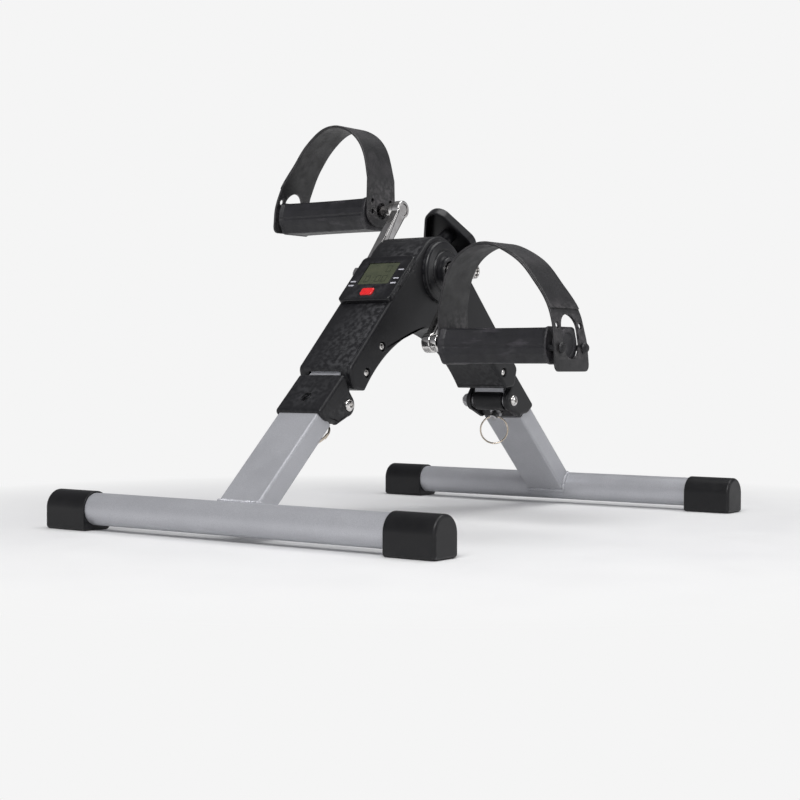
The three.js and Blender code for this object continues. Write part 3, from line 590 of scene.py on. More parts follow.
def display_glass():
    """The window over the liquid crystal: olive, glossy, with faint smudges."""
    g = Graph("display_glass")
    g.colour(g.blend(g.spread(g.noise(8, 3), 0, 1), (0.050, 0.058, 0.034), (0.066, 0.073, 0.043)))
    g.roughness(g.spread(g.noise(6, 5), 0.10, 0.26))
    g.set(Coat_Weight=0.25, Coat_Roughness=0.05)
    g.bumps((g.noise(4, 2), 0.012))
    return g.material


def flat_ink(name, dark, light, rough):
    """Printed marks: slightly uneven ink."""
    g = Graph(name)
    g.colour(g.blend(g.spread(g.noise(1.2, 3), 0, 1), dark, light))
    g.roughness(g.spread(g.noise(0.8, 3), rough, rough + 0.15))
    g.bumps((g.noise(0.4, 2), 0.01))
    return g.material


def felt():
    g = Graph("felt")
    g.colour(g.blend(g.spread(g.noise(1.2, 6, 0.7), 0, 1), (0.09, 0.065, 0.045), (0.20, 0.155, 0.11)))
    g.roughness(g.spread(g.noise(1, 4), 0.86, 1.0))
    g.bumps((g.noise(0.35, 5, 0.75), 0.35))
    return g.material


BLACK = ((0.0065, 0.0065, 0.0078), (0.0085, 0.0085, 0.0102))
CAP_BLACK = ((0.005, 0.005, 0.006), (0.009, 0.009, 0.010))
GLOSS_BLACK = ((0.005, 0.005, 0.006), (0.009, 0.009, 0.011))
LOOKS = {
    "silver_paint": silver_paint(),
    "black_plastic": moulded("black_plastic", *BLACK, (0.42, 0.47), 0.45, 0.010, edge_highlight_and_wear=0.6, sheen=0.36),
    "cap_plastic": moulded("cap_plastic", *CAP_BLACK, (0.34, 0.46), 0.8, 0.015, edge_highlight_and_wear=0.4, sheen=0.35),
    "gloss_plastic": moulded("gloss_plastic", *GLOSS_BLACK, (0.26, 0.38), 0.5, 0.008, edge_highlight_and_wear=0.5, sheen=0.4),
    "pedal_plastic": pedal_plastic(),
    "strap_plastic": strap_plastic(),
    "chrome": metal("chrome", (0.62, 0.60, 0.58), (0.80, 0.79, 0.78), (0.05, 0.16)),
    "zinc_steel": metal("zinc_steel", (0.36, 0.36, 0.37), (0.52, 0.52, 0.53), (0.26, 0.44), depth=0.03),
    "nickel_wire": metal("nickel_wire", (0.52, 0.45, 0.37), (0.72, 0.64, 0.54), (0.12, 0.26)),
    "red_plastic": red_plastic(),
    "display_glass": display_glass(),
    "segment_ink": flat_ink("segment_ink", (0.030, 0.035, 0.021), (0.038, 0.043, 0.026), 0.3),
    "label_ink": flat_ink("label_ink", (0.36, 0.36, 0.40), (0.55, 0.55, 0.60), 0.5),
    "circuit_board": flat_ink("circuit_board", (0.008, 0.055, 0.022), (0.014, 0.095, 0.040), 0.35),
    "felt": felt(),
}

# ---------------------------------------------------------------- feet and legs


def foot_tube(place):
    reach = FOOT_HALF - 3.5
    return lathe([(0, -reach), (TUBE_RADIUS, -reach), (TUBE_RADIUS, reach), (0, reach)], "y", place, 96)


def cap_outline():
    """Round over the tube and flat on the floor."""
    flat = CAP_RADIUS - CAP_CORNER
    sill = arc(flat, CAP_CORNER, CAP_CORNER, -math.pi / 2, 0, 5)
    crown = arc(0, TUBE_HEIGHT, CAP_RADIUS, 0, math.pi, 40)
    return sill + crown + [(-a, b) for a, b in sill[::-1]]


def foot_cap(place):
    """Drawn at the +Y end of a foot, with a softly rounded closed end and a fine lip at its mouth."""
    low = FOOT_HALF - CAP_LENGTH
    body = prism(cap_outline(), low, FOOT_HALF, "y", place, edge=0.8, far_edge=2.6, steps=6)
    socket = rod(TUBE_RADIUS + 0.1, (0, low - 2, TUBE_HEIGHT), (0, FOOT_HALF - 4, TUBE_HEIGHT), place, 96)
    return cut(body, socket)


def leg_tube(place):
    section = rounded_box(LEG_WIDTH, LEG_DEPTH, LEG_CORNER, steps=7)
    tube = prism(section, 0, LEG_END, "x", place)
    saddle = rod(TUBE_RADIUS - 0.2, (0, -LEG_WIDTH, LEG_DROP), (0, LEG_WIDTH, LEG_DROP), place, 96)
    drain = rod(2.2, (19, -LEG_WIDTH, -4.5), (19, -LEG_WIDTH / 2 + 3, -4.5), place, 24)
    return cut(tube, saddle, drain)


def weld_bead(place):
    """A rippled bead where the leg's section meets the round foot tube."""
    path = []
    section = rounded_box(LEG_WIDTH + 0.8, LEG_DEPTH + 0.4, LEG_CORNER, steps=5)
    for i, (y, z) in enumerate(section):
        following = section[(i + 1) % len(section)]
        parts = max(1, round(math.dist((y, z), following) / 0.55))
        for k in range(parts):
            share = k / parts
            py = y + (following[0] - y) * share
            pz = z + (following[1] - z) * share
            rise = math.sqrt(max(TUBE_RADIUS ** 2 - (pz - LEG_DROP) ** 2, 1.0))
            path.append((rise + 0.3, py, pz))
    count = len(path)

    def ripple(share):
        at = share * count
        return 1.55 + 0.28 * math.sin(at * 1.9) + 0.2 * math.sin(at * 0.41 + 1) + 0.12 * math.sin(at * 0.13)

    return swept(path, ripple, place, closed=True)


def hinge_cover(place):
    """A one-piece sleeve round the top of the leg, with a rounded lobe over each end of the pivot bolt."""
    px, pz = PIVOT
    lobe = arc(px, pz, COVER_LOBE, 1.3 * math.pi, 1.97 * math.pi, 22)
    shoulder = [
        (px - 40, pz - 40, 0),
        (COVER_TOP, -3, 4),
        (COVER_TOP, 1, 6),
        (COVER_TOP + 4.5, COVER_LIP, 3.2),
        (110, COVER_LIP, 3.4),
    ]
    skirt = [(112.4, 0, 12), (120.5, -10, 8), (px - 20, pz - 20, 0)]
    profile = lobe + filleted(shoulder + skirt, 6)[1:-1]
    body = prism(profile, -SIDE_FACE, SIDE_FACE, "y", place, edge=2.6, steps=6)
    side = LEG_WIDTH / 2 + 0.15
    face = LEG_DEPTH / 2 + 0.15
    wide = BRACKET_REACH
    past = 170
    cutters = [
        block((0, -side, -face), (LEG_END + GAP, side, face), place),
        block((LEG_END - 1, -wide, -8.2), (past, wide, 9.6), place),
        block((133, -wide, -BEYOND), (past, wide, 1), place),
        block((100, -wide, -BEYOND), (past, wide, -11.5), place),
        rod(LOCK_RADIUS + 0.4, (LOCK_X, 0, -BEYOND), (LOCK_X, 0, 3), place),
        rod(LOCK_RADIUS + 0.8, (LOCK_X, 0, 0), (LOCK_X, 0, 20), place),
        rod(BOLT_BORE, (px, -BEYOND, pz), (px, BEYOND, pz), place),
    ]
    return cut(body, *cutters)


def at_pivot(place):
    px, pz = PIVOT
    return place @ Matrix.Translation((px, 0, pz))


def pivot_sleeve(place):
    """The black moulding round the frame's tongue, turned about the pivot between the bracket's ears."""
    px = PIVOT[0]
    at = at_pivot(place)
    body = prism(arc(0, 0, 9.3, 0, TAU, 56)[:-1], -15.8, 15.8, "y", at, edge=0.8)
    arm = block((px - 20, -17, -3.5), (px + 30, 17, 30), place)
    return cut(body, arm, rod(BOLT_BORE, (0, -20, 0), (0, 20, 0), at))


def hexagon(radius, steps=3):
    turns = [TAU * i / 6 for i in range(6)]
    corners = [(radius * math.cos(a), radius * math.sin(a), radius * 0.12) for a in turns]
    return filleted(corners, steps)


def pivot_bolt(place):
    """A domed head with a hexagon socket, and its plain shank."""
    at = at_pivot(place)
    face = -SIDE_FACE
    head, shank = 5.2, 4.1
    dome = [(head * math.cos(a), face - 1.1 - 2.5 * math.sin(a)) for a in quarter(8)[::-1]]
    profile = [(0, dome[0][1])] + dome + [(head, face), (shank, face), (shank, -face + 7), (0, -face + 7)]
    socket = prism(hexagon(2.5), face - 6, face - 1.4, "y", at)
    return cut(lathe(profile, "y", at, 64), socket)


def hexagon_nut(low, high, radius, bore, place):
    """A nut with its corners turned down to a cone at its outer face."""
    body = prism(hexagon(radius), low, high, "y", place)
    slope = [(radius * 1.2, low - 1), (radius * 1.02, high - 1.2), (radius * 0.84, high)]
    cone = lathe([(0, low - 1)] + slope + [(0, high)], "y", place)
    return cut(common(body, cone), rod(bore, (0, low - 2, 0), (0, high + 2, 0), place))


def pivot_nut(place):
    return hexagon_nut(SIDE_FACE + 0.2, SIDE_FACE + 5.5, 6.5, 4.2, at_pivot(place))


def ring_axis(turn):
    return Vector((-math.sin(turn), -math.cos(turn), 0))


def lock_pin(place, turn):
    """A pin with a rounded tip, a collar under the cover and a cross hole for its ring."""
    at = place @ Matrix.Translation((LOCK_X, 0, 0))
    tail = [(0, -22), (3, -22), (LOCK_RADIUS, -21), (LOCK_RADIUS, -13.8)]
    collar = [(6, -13.8), (6, -11.8), (LOCK_RADIUS, -11.8)]
    tip = [(LOCK_RADIUS, 7.2), (3.6, 8), (2.8, 8.5), (0, 8.5)]
    across = ring_axis(turn) * 12
    eye = Vector((0, 0, LOCK_EYE))
    return cut(lathe(tail + collar + tip, "z", at, 56), rod(1.9, eye - across, eye + across, at, 32))


def pull_ring(place, turn, tucked):
    """A split ring: two turns of wire side by side, tucked up along the leg or hanging from the pin's eye."""
    across = ring_axis(turn)
    down = Vector((-1, 0, 0)) if tucked else Vector((-math.sin(LEG_ANGLE), 0, -math.cos(LEG_ANGLE)))
    across = (across - down * down.dot(across)).normalized()
    facing = across.cross(down)
    centre = Vector((LOCK_X, 0, LOCK_EYE)) + down * RING_RADIUS
    turns = 2.05
    count = 190
    path = []
    for i in range(count + 1):
        a = TAU * turns * i / count
        aside = (i / count - 0.5) * 2.1 * RING_WIRE
        path.append(centre + (across * math.cos(a) + down * math.sin(a)) * RING_RADIUS + facing * aside)
    return swept(path, lambda share: RING_WIRE, place, 12)


def leg_pieces(end):
    place = LEGS[end]
    foot = Matrix.Translation((-FOOT_X, 0, 0))
    foot = foot if end == "near" else HALF_TURN @ foot
    level = foot @ Matrix.Translation((0, 0, TUBE_HEIGHT))
    body = end + "_leg"
    turn = 0 if end == "near" else FAR_PIN_TURN
    one, two = ("left", "right") if end == "near" else ("right", "left")
    bolted = place
    if end == "far":
        swap = Matrix.Translation((PIVOT[0], 0, 0))
        bolted = place @ swap @ HALF_TURN @ swap.inverted()
    piece(end + "_tube", foot_tube(level), "silver_paint", body, end + "_foot_tube")
    piece(f"{end}_cap_{one}", foot_cap(foot), "cap_plastic", body, f"{end}_foot_cap_{one}")
    piece(f"{end}_cap_{two}", foot_cap(foot @ HALF_TURN), "cap_plastic", body, f"{end}_foot_cap_{two}")
    piece(end + "_leg", leg_tube(place), "silver_paint", body, end + "_leg_tube")
    piece(end + "_weld", weld_bead(place), "silver_paint", body)
    piece(end + "_cover", hinge_cover(place), "black_plastic", body, end + "_hinge_cover")
    piece(end + "_pivot_sleeve", pivot_sleeve(place), "black_plastic", "frame")
    piece(end + "_bolt", pivot_bolt(bolted), "chrome", body, end + "_pivot_bolt")
    piece(end + "_nut", pivot_nut(bolted), "zinc_steel", body, end + "_pivot_nut")
    piece(end + "_pin", lock_pin(place, turn), "zinc_steel", end + "_lock", end + "_lock_pin")
    ring = pull_ring(place, turn, end == "near")
    piece(end + "_split_ring", ring, "nickel_wire", end + "_ring", end + "_pull_ring")


# ---------------------------------------------------------------- housing


def housing_outline(draw_in):
    """The A-shaped side view with rolled lower ends, drawn in on every side."""
    arch = ARCH_RADIUS + draw_in
    start = math.asin(ARCH_REACH / arch)
    near = [
        (-SLOPE_END + draw_in, SLOPE_SUM - SLOPE_END, 6 - draw_in),
        (-TOE[0] + draw_in, TOE[1] + draw_in, 6 - draw_in),
        (-HEEL[0] + draw_in, HEEL[1] + draw_in, 3.2),
    ]
    left = filleted([(0, 260, 0)] + near + [(0, 150, 0)], 6)[1:-1]
    right = [(-a, b) for a, b in left[::-1]]
    under = arc(0, ARCH_CENTRE, arch, math.pi / 2 + start, math.pi / 2 - start, 60)
    over = arc(0, HUB_HEIGHT, HOUSING_CROWN - draw_in, math.pi / 4, 0.75 * math.pi, 40)
    return over + left + under + right


def housing_hollow():
    """Everything that is cut from both mouldings."""
    inside = HOUSING_HALF - HOUSING_WALL
    hollow = prism(housing_outline(HOUSING_WALL), -inside, inside, "y")
    hollow = cut(hollow, *[rod(4.9, (x, -BEYOND, z), (x, BEYOND, z)) for x, z in SCREW_PLACES.values()])
    doors = [block((140, -17, -5), (190, 17, 10.9), leg) for leg in (NEAR_LEG, FAR_LEG)]
    pocket = block((-27, -25, -8), (27, 25, 12), COUNTER)
    axle = rod(AXLE_RADIUS + 1, (0, -BEYOND, HUB_HEIGHT), (0, BEYOND, HUB_HEIGHT))
    boss = rod(9, (0, 0, 20), (0, 0, 45), BRAKE)
    return [hollow, *doors, pocket, axle, boss]


def screw_well(x, z, bore):
    """A cutter for a screw's recess, flared at the housing's face."""
    face = -HOUSING_HALF
    at = Matrix.Translation((x, 0, z))
    if bore:
        return rod(2.1, (0, face - 2, 0), (0, 0, 0), at, 32)
    flare = [(0, face - 2), (5.2, face - 2), (5.0, face), (4.3, face + 0.5)]
    profile = flare + [(4.1, face + 1.2), (4.1, face + 3.2), (0, face + 3.2)]
    return lathe(profile, "y", at, 48)


def housing_part(is_cover):
    whole = prism(housing_outline(0), -HOUSING_HALF, HOUSING_HALF, "y", edge=HOUSING_EDGE, steps=6)
    edge = SEAM - GAP / 2 if is_cover else SEAM + GAP / 2
    reach = 200
    from_y, to_y = (edge, reach) if is_cover else (-reach, edge)
    part = cut(whole, block((-reach, from_y, 0), (reach, to_y, 2 * reach)), *housing_hollow())
    wells = [screw_well(x, z, True) for x, z in SCREW_PLACES.values()]
    if is_cover:
        wells += [screw_well(x, z, False) for x, z in SCREW_PLACES.values()]
    return cut(part, *wells)


def housing_screw(x, z):
    """A pan head with a cross recess, seated in its well."""
    face = -HOUSING_HALF + 0.6
    at = Matrix.Translation((x, 0, z))
    head, shank = 3.2, 1.8
    dome = [(head * math.sin(a), face + 1.3 * (1 - math.cos(a))) for a in quarter(7)]
    body = lathe(dome + [(head, face + 2.4), (shank, face + 2.4), (shank, -0.5), (0, -0.5)], "y", at, 48)
    slots = [
        block((-2.1, face - 1, -0.5), (2.1, face + 1.0, 0.5), at),
        block((-0.5, face - 1, -2.1), (0.5, face + 1.0, 2.1), at),
    ]
    return cut(body, *slots)


def hub_cover(hand):
    """A stepped dome with a raised ring round the axle, drawn as (radius, height over the housing) pairs."""
    low = HOUSING_HALF + 0.1
    place = HUB if hand > 0 else HUB @ HALF_TURN
    rim = HUB_COVER_RADIUS
    dome = [(rim - 3.2 + 3.2 * math.cos(a), 2.4 + 3.0 * math.sin(a)) for a in quarter(7)[1:]]
    profile = [(rim - 2, 0), (rim, 0), (rim, 2.4)] + dome
    profile += [(20.5, 6.3), (19.6, 5.6), (18.6, 5.6), (17.8, 6.7), (14.2, 7.0), (13.0, 8.0), (12.8, 10.6)]
    profile += [(12.0, 11.4), (9.6, 11.4), (9.6, 4), (18, 4), (rim - 3.5, 2.4), (rim - 2, 1.6)]
    return lathe([(r, low + height) for r, height in profile], "y", place, 112, closed=True)


def housing_pieces():
    piece("shell", housing_part(False), "black_plastic", "frame", "housing_shell")
    piece("side_cover", housing_part(True), "black_plastic", "frame", "housing_side_cover")
    for name, (x, z) in SCREW_PLACES.items():
        screw = housing_screw(x, z)
        piece("screw_" + name, screw, "chrome", "frame", "housing_screw_" + name, slot="zinc_steel")
    for side, hand in (("left", 1), ("right", -1)):
        piece("hub_dome_" + side, hub_cover(hand), "gloss_plastic", "frame", "hub_cover_" + side)


# ---------------------------------------------------------------- counter


def counter_case():
    """A square bezel with bowed sides, open over the window and the button."""
    half = COUNTER_SIZE / 2
    square = rounded_box(COUNTER_SIZE, COUNTER_SIZE, 5, steps=9)
    flange = prism(square, GAP, COUNTER_PROUD, "z", COUNTER, edge=0.2, far_edge=1.3)
    ears = prism(rounded_box(19, COUNTER_SIZE + 2.4, 2), GAP, 3.2, "z", COUNTER, edge=0.2, far_edge=0.8)
    skirt = block((-half + 1.5, -half + 3.5, -5), (half - 1.5, half - 3.5, 1), COUNTER)
    x, y = half - 3.5, half - 5.5
    hollow = block((-x, -y, -7), (x, y, COUNTER_PROUD - 2), COUNTER)
    window = prism(rounded_box(WINDOW_HEIGHT, WINDOW_WIDTH, 1, WINDOW_UP, 0), 0, 9, "z", COUNTER)
    button = prism(rounded_box(9.0, 13.6, 2.2, BUTTON_UP, 0), 0, 9, "z", COUNTER)
    return cut(joined(flange, ears, skirt), hollow, window, button)


def nought(x, y, top):
    """A seven-segment nought. x runs up the slope and y to the reader's left."""
    bar, width, height = 1.0, 4.4, 8.4
    half = height / 2
    tall, wide = half - bar / 2, width - bar
    upper, lower = x + 1.5 * half, x + 0.5 * half
    left, right = y + width / 2, y - width / 2
    segments = [
        (x + height - bar / 2, y, bar, wide),
        (upper, right, tall, bar),
        (lower, right, tall, bar),
        (x + bar / 2, y, bar, wide),
        (lower, left, tall, bar),
        (upper, left, tall, bar),
    ]
    return [slab_mark(*segment, top, 0.12) for segment in segments]


def slab_mark(x, y, length, width, top, thick):
    return prism(rounded_box(length, width, 0.2, x, y, 2), top, top + thick, "z", COUNTER)


def display_marks():
    """A generic reading: a count above, a clock below."""
    top = COUNTER_PROUD - 0.55
    clock = WINDOW_UP - 10.6
    marks = nought(WINDOW_UP + 2.0, -8.0, top)
    for y in (9.4, -1.8, -8.6):
        marks += nought(clock, y, top)
    marks += [slab_mark(clock + up, 3.9, 1, 1, top, 0.12) for up in (2.4, 6.0)]
    return gathered(*marks)


def counter_labels():
    """Short pale dashes where the printed names of the functions would be."""
    top = COUNTER_PROUD - 0.02
    places = [(-4.5, 22.2), (-9.5, 22.2), (9.5, -22.2), (-1.5, -22.2), (-7.5, -22.2)]
    return gathered(*[slab_mark(x, y, 1.5, 5.6, top, 0.14) for x, y in places])


def counter_window():
    top = COUNTER_PROUD - 0.5
    outline = rounded_box(WINDOW_HEIGHT - 0.3, WINDOW_WIDTH - 0.3, 0.9, WINDOW_UP, 0)
    return prism(outline, top - 1.6, top, "z", COUNTER, edge=0.1, far_edge=0.25)


def reset_button():
    outline = rounded_box(8.4, 13, 2, BUTTON_UP, 0)
    return prism(outline, 1.2, COUNTER_PROUD + 1.2, "z", COUNTER, edge=0.1, far_edge=1.0)


def counter_pieces():
    piece("bezel", counter_case(), "gloss_plastic", "frame", "counter_case")
    piece("display", counter_window(), "display_glass", "frame", "counter_window")
    piece("display_segments", display_marks(), "segment_ink", "frame")
    piece("bezel_marks", counter_labels(), "label_ink", "frame")
    piece("red_button", reset_button(), "red_plastic", "button", "reset_button")


# ---------------------------------------------------------------- drive


def crank_outline():
    """A flat arm between two round eyes."""
    eye, half_arm = 8.6, 6
    neck = math.asin(half_arm / eye)
    outer = arc(CRANK_RADIUS, 0, eye, math.pi + neck, 3 * math.pi - neck, 36)
    return arc(0, 0, eye, neck, TAU - neck, 36) + outer


def crank(hand):
    turn = HUB @ Matrix.Rotation(-CRANK_ANGLE, 4, "Y")
    place = turn if hand > 0 else turn @ HALF_TURN
    bar = prism(crank_outline(), CRANK_INNER, CRANK_INNER + CRANK_THICKNESS, "y", place, edge=1.5, steps=6)
    holes = [rod(AXLE_END + 0.2, (x, 40, 0), (x, 70, 0), place) for x in (0, CRANK_RADIUS)]
    return cut(bar, *holes)


def axle_ends():
    """The turned axle, with a groove and a shoulder by each crank and a drum in the middle."""
    shoulder = CRANK_INNER - 0.1
    tip = CRANK_INNER + CRANK_THICKNESS + 5
    groove = AXLE_RADIUS - 0.5
    half = [(0, tip), (AXLE_END - 0.6, tip), (AXLE_END, tip - 0.6), (AXLE_END, shoulder)]
    half += [(AXLE_RADIUS, shoulder), (AXLE_RADIUS, 46), (groove, 45.6), (groove, 44.6)]
    half += [(AXLE_RADIUS, 44.2), (AXLE_RADIUS, 9), (12, 9)]
    return lathe(half + [(r, -y) for r, y in half[::-1]], "y", HUB, 80)


def crank_nut(hand):
    place = HUB if hand > 0 else HUB @ HALF_TURN
    low = CRANK_INNER + CRANK_THICKNESS + 0.1
    profile = [(5.7, low), (8.0, low), (8.0, low + 1), (7.7, low + 1.3), (5.7, low + 1.3)]
    washer = lathe(profile, "y", place, 64, closed=True)
    nut = hexagon_nut(low + 1.2, low + 6.6, 7.8, AXLE_END + 0.1, place)
    return joined(nut, washer)


def pedal_spindle(side):
    """Riveted into the crank, with a flange against it, and running inside the pedal."""
    start, face, tip = CRANK_INNER + 0.6, CRANK_INNER + CRANK_THICKNESS, PEDAL_END - 6
    end = AXLE_END - 0.1
    profile = [(0, start), (end - 0.5, start), (end, CRANK_INNER + 1.1), (end, face), (7.5, face)]
    profile += [(7.5, face + 4.6), (7.1, face + 5.2), (6, face + 6.5), (5, face + 7), (5, tip), (0, tip)]
    return lathe(profile, "y", pedal_place(side), 64)


# ---------------------------------------------------------------- pedals


def pedal_section(y):
    """The bar's section at a distance along the spindle: flanged ends, a narrower waist and a side crease."""
    share = (y - PEDAL_START) / (PEDAL_END - PEDAL_START)
    waist = 4.0 * math.sin(math.pi * share) ** 0.7
    from_flange = min(y - PEDAL_START, 2 * (PEDAL_END - y))
    body = min(max((from_flange - 3.6) / 1.6, 0), 1)
    half = 25 - waist - 0.8 * body
    top = 12.2 - 0.9 * body
    bottom = -18.4 + 0.8 * body
    crease = 0.1 + 0.5 * body
    right = [
        (half - 7, bottom, 3.5),
        (half - 0.8, -9.5, 5),
        (half, -5.2, 1.2),
        (half - crease, -3.6, 0.8),
        (half, -2.0, 1.2),
        (half - 0.6, 3, 4),
        (half - 4, top, 3.2),
    ]
    left = [(-a, b, r) for a, b, r in right[::-1]]
    return filleted(right + left, 5)


def pedal_body(side):
    stops = [0, 0.4, 1.2, 4.3, 4.9, 5.5, 6.1, 8, 12]
    span = PEDAL_END - PEDAL_START
    inner = [16 + (span - 32) * i / 22 for i in range(23)]
    places = stops + inner + [span - s for s in stops[::-1]]
    loops = []
    for along in places:
        y = PEDAL_START + along
        rounded = 0.8 - min(min(along, span - along), 0.8)
        section = inset(anticlockwise(pedal_section(y)), rounded)
        loops.append([(a, y, b) for a, b in section])
    place = pedal_place(side)
    bore = rod(5.2, (0, PEDAL_START - 2, 0), (0, PEDAL_END - 5, 0), place)
    return cut(skin(loops, place), bore)


def pedal_disc(side):
    """The round end boss that the strap's outer plate rests on, seen through the plate's opening."""
    face = PEG_HEADS[side] - 4.4
    place = pedal_place(side) @ Matrix.Translation((0, 0, -2.5))
    back = PEDAL_END - 1
    dished = [(0, face - 0.8), (9, face - 0.8), (10, face), (13.2, face), (14, face - 0.8)]
    profile = dished + [(14.4, back), (0, back)]
    return lathe(profile, "y", place, 64)


def between(a, b, c, d, t):
    """A share t of the way from b to c, on a smooth curve through all four."""
    square = 2 * a - 5 * b + 4 * c - d
    cube = 3 * b - a - 3 * c + d
    return 0.5 * (2 * b + (c - a) * t + square * t * t + cube * t ** 3)


def curve_through(points, parts):
    """A smooth curve through 2-D points, as many parts between each pair."""
    curve = []
    padded = [points[0]] + list(points) + [points[-1]]
    for p0, p1, p2, p3 in zip(padded, padded[1:], padded[2:], padded[3:]):
        for k in range(parts):
            t = k / parts
            curve.append(tuple(between(*values, t) for values in zip(p0, p1, p2, p3)))
    return curve + [tuple(points[-1])]


def eased(keys, share):
    """A value between (share, value) keys, without corners."""
    for (a, low), (b, high) in zip(keys, keys[1:]):
        if share <= b:
            t = max(share - a, 0) / (b - a)
            return low + (high - low) * t * t * (3 - 2 * t)
    return keys[-1][1]


def band(path, width_at, thickness, place, shift_at=lambda share: 0.0):
    """A round-edged band along a path in y and z; both functions take the share of the way along."""
    count = len(path)
    loops = []
    for i, (y, z) in enumerate(path):
        ahead = Vector(path[min(i + 1, count - 1)])
        behind = Vector(path[max(i - 1, 0)])
        along = (ahead - behind).normalized()
        out = Vector((-along.y, along.x))
        shift = shift_at(i / (count - 1))
        width = width_at(i / (count - 1))
        section = rounded_box(max(width, thickness * 1.02), thickness, thickness * 0.45, steps=4)
        loops.append([(x, y + out.x * (t + shift), z + out.y * (t + shift)) for x, t in section])
    return skin(loops, place)


def rounded_end(width, corner, from_end):
    """Band width near an end with rounded corners, from_end millimetres before the tip."""
    if from_end >= corner:
        return width
    return width - 2 * (corner - math.sqrt(max(corner ** 2 - (corner - from_end) ** 2, 0)))


def pedal_strap(side):
    """One band from the inner plate, over the foot, and down into a thicker outer end plate."""
    place = pedal_place(side)
    path = [(76.5, -15.0 + 45 * i / 12) for i in range(12)] + curve_through(STRAP_ARCH + STRAP_ENDS[side], 7)
    lengths = [0.0]
    for a, b in zip(path, path[1:]):
        lengths.append(lengths[-1] + math.dist(a, b))
    total = lengths[-1]
    ends = [0, 1, 2, 3.5, 5.5, 8, 11, 15] + [total - s for s in (0, 0.3, 0.9, 2, 3.5, 6)]
    stations = sorted(set(ends + lengths[12:-3]))

    def at(distance):
        for i in range(len(path) - 1):
            if lengths[i + 1] >= distance:
                step = lengths[i + 1] - lengths[i]
                share = (distance - lengths[i]) / step if step else 0
                return tuple(p + (q - p) * share for p, q in zip(path[i], path[i + 1]))
        return path[-1]

    points = [at(s) for s in stations]

    def width_at(share):
        distance = stations[round(share * (len(stations) - 1))]
        width = eased(STRAP_WIDTHS, distance / total)
        return min(rounded_end(width, 15, distance), rounded_end(width, 6, total - distance))

    strap = band(points, width_at, STRAP_THICKNESS, place)
    lap_from = next(i for i, p in enumerate(points) if p[0] > 95)
    lap_to = next(i for i, p in enumerate(points) if p[0] > 150 and p[1] < 23)
    share_from, share_to = (stations[i] / total for i in (lap_from, lap_to - 1))
    lap = band(
        points[lap_from:lap_to],
        lambda share: eased(STRAP_WIDTHS, share_from + (share_to - share_from) * share) - 0.8,
        1.6,
        place,
        lambda share: 1.3 * min(share * 1.6, 1),
    )
    outer = 205
    low = 170
    opening = prism(rounded_box(26, 36, 12.5, 0, 4, steps=9), low, outer, "y", place)
    pegs = [rod(2.9, (x, low, z), (x, outer, z), place, 32) for x in (-18, 18) for z in (-5, 13)]
    spindle = rod(7.8, (0, 70, 0), (0, 80, 0), place)
    inner_holes = [rod(2.4, (x, 70, z), (x, 80, z), place, 32) for x in (-14, 14) for z in (-1, 9)]
    return cut(joined(strap, lap), opening, *pegs, spindle, *inner_holes)


def eyelets(side):
    """Raised rims round the strap's upper pair of holes."""
    place = pedal_place(side)
    ends = STRAP_ENDS[side]
    (y1, z1), (y2, z2) = ends[-3], ends[-2]
    y = y1 + (y2 - y1) * (13 - z1) / (z2 - z1)
    lean = math.atan2(y2 - y1, z1 - z2)
    made = []
    for x in (-18, 18):
        at = place @ Matrix.Translation((x, y + STRAP_THICKNESS / 2, 13)) @ Matrix.Rotation(lean, 4, "X")
        rim = [(2.9, -1.4), (4.5, -1.4), (4.5, 0.5), (4.1, 1.0), (3.4, 1.0), (2.9, 0.6)]
        made.append(lathe(rim, "y", at, 40, closed=True))
    return gathered(*made)


def strap_peg(side, x):
    """A mushroom-headed peg pushed through the strap."""
    head = PEG_HEADS[side]
    place = pedal_place(side) @ Matrix.Translation((x, 0, -5))
    foot = PEDAL_END + 0.1
    profile = [(0, foot), (2.5, foot), (2.5, head), (4.4, head), (4.6, head + 0.6), (4.2, head + 1.6)]
    profile += [(3.4, head + 2.4), (2.6, head + 3.2), (1.4, head + 3.4), (0, head + 3.4)]
    return lathe(profile, "y", place, 40)


def pedal_pieces(side):
    body = side + "_pedal"
    piece(side + "_pedal_bar", pedal_body(side), "pedal_plastic", body, side + "_pedal_body")
    piece(side + "_pedal_disc", pedal_disc(side), "pedal_plastic", body)
    piece(side + "_strap", pedal_strap(side), "strap_plastic", body, side + "_pedal_strap")
    piece(side + "_eyelets", eyelets(side), "strap_plastic", body)
    for i, x in enumerate((-18, 18), 1):
        piece(f"{side}_peg_{i}", strap_peg(side, x), "black_plastic", body, f"{side}_strap_peg_{i}")
    piece(side + "_spindle", pedal_spindle(side), "chrome", "crank", side + "_pedal_spindle")


def drive_pieces():
    for side, hand in (("left", 1), ("right", -1)):
        piece("crank_arm_" + side, crank(hand), "chrome", "crank", "crank_" + side)
        piece("axle_nut_" + side, crank_nut(hand), "chrome", "crank", "crank_nut_" + side)
        pedal_pieces(side)
    piece("crank_axle", axle_ends(), "chrome", "crank", "axle")


# ---------------------------------------------------------------- brake


def lobed(radius, steps=18):
    points = []
    for i in range(3):
        angle = KNOB_TURN + i * TAU / 3
        x, y = KNOB_LOBE_AT * math.cos(angle), KNOB_LOBE_AT * math.sin(angle)
        points += arc(x, y, radius, angle - math.pi / 3, angle + math.pi / 3, steps)
    return points


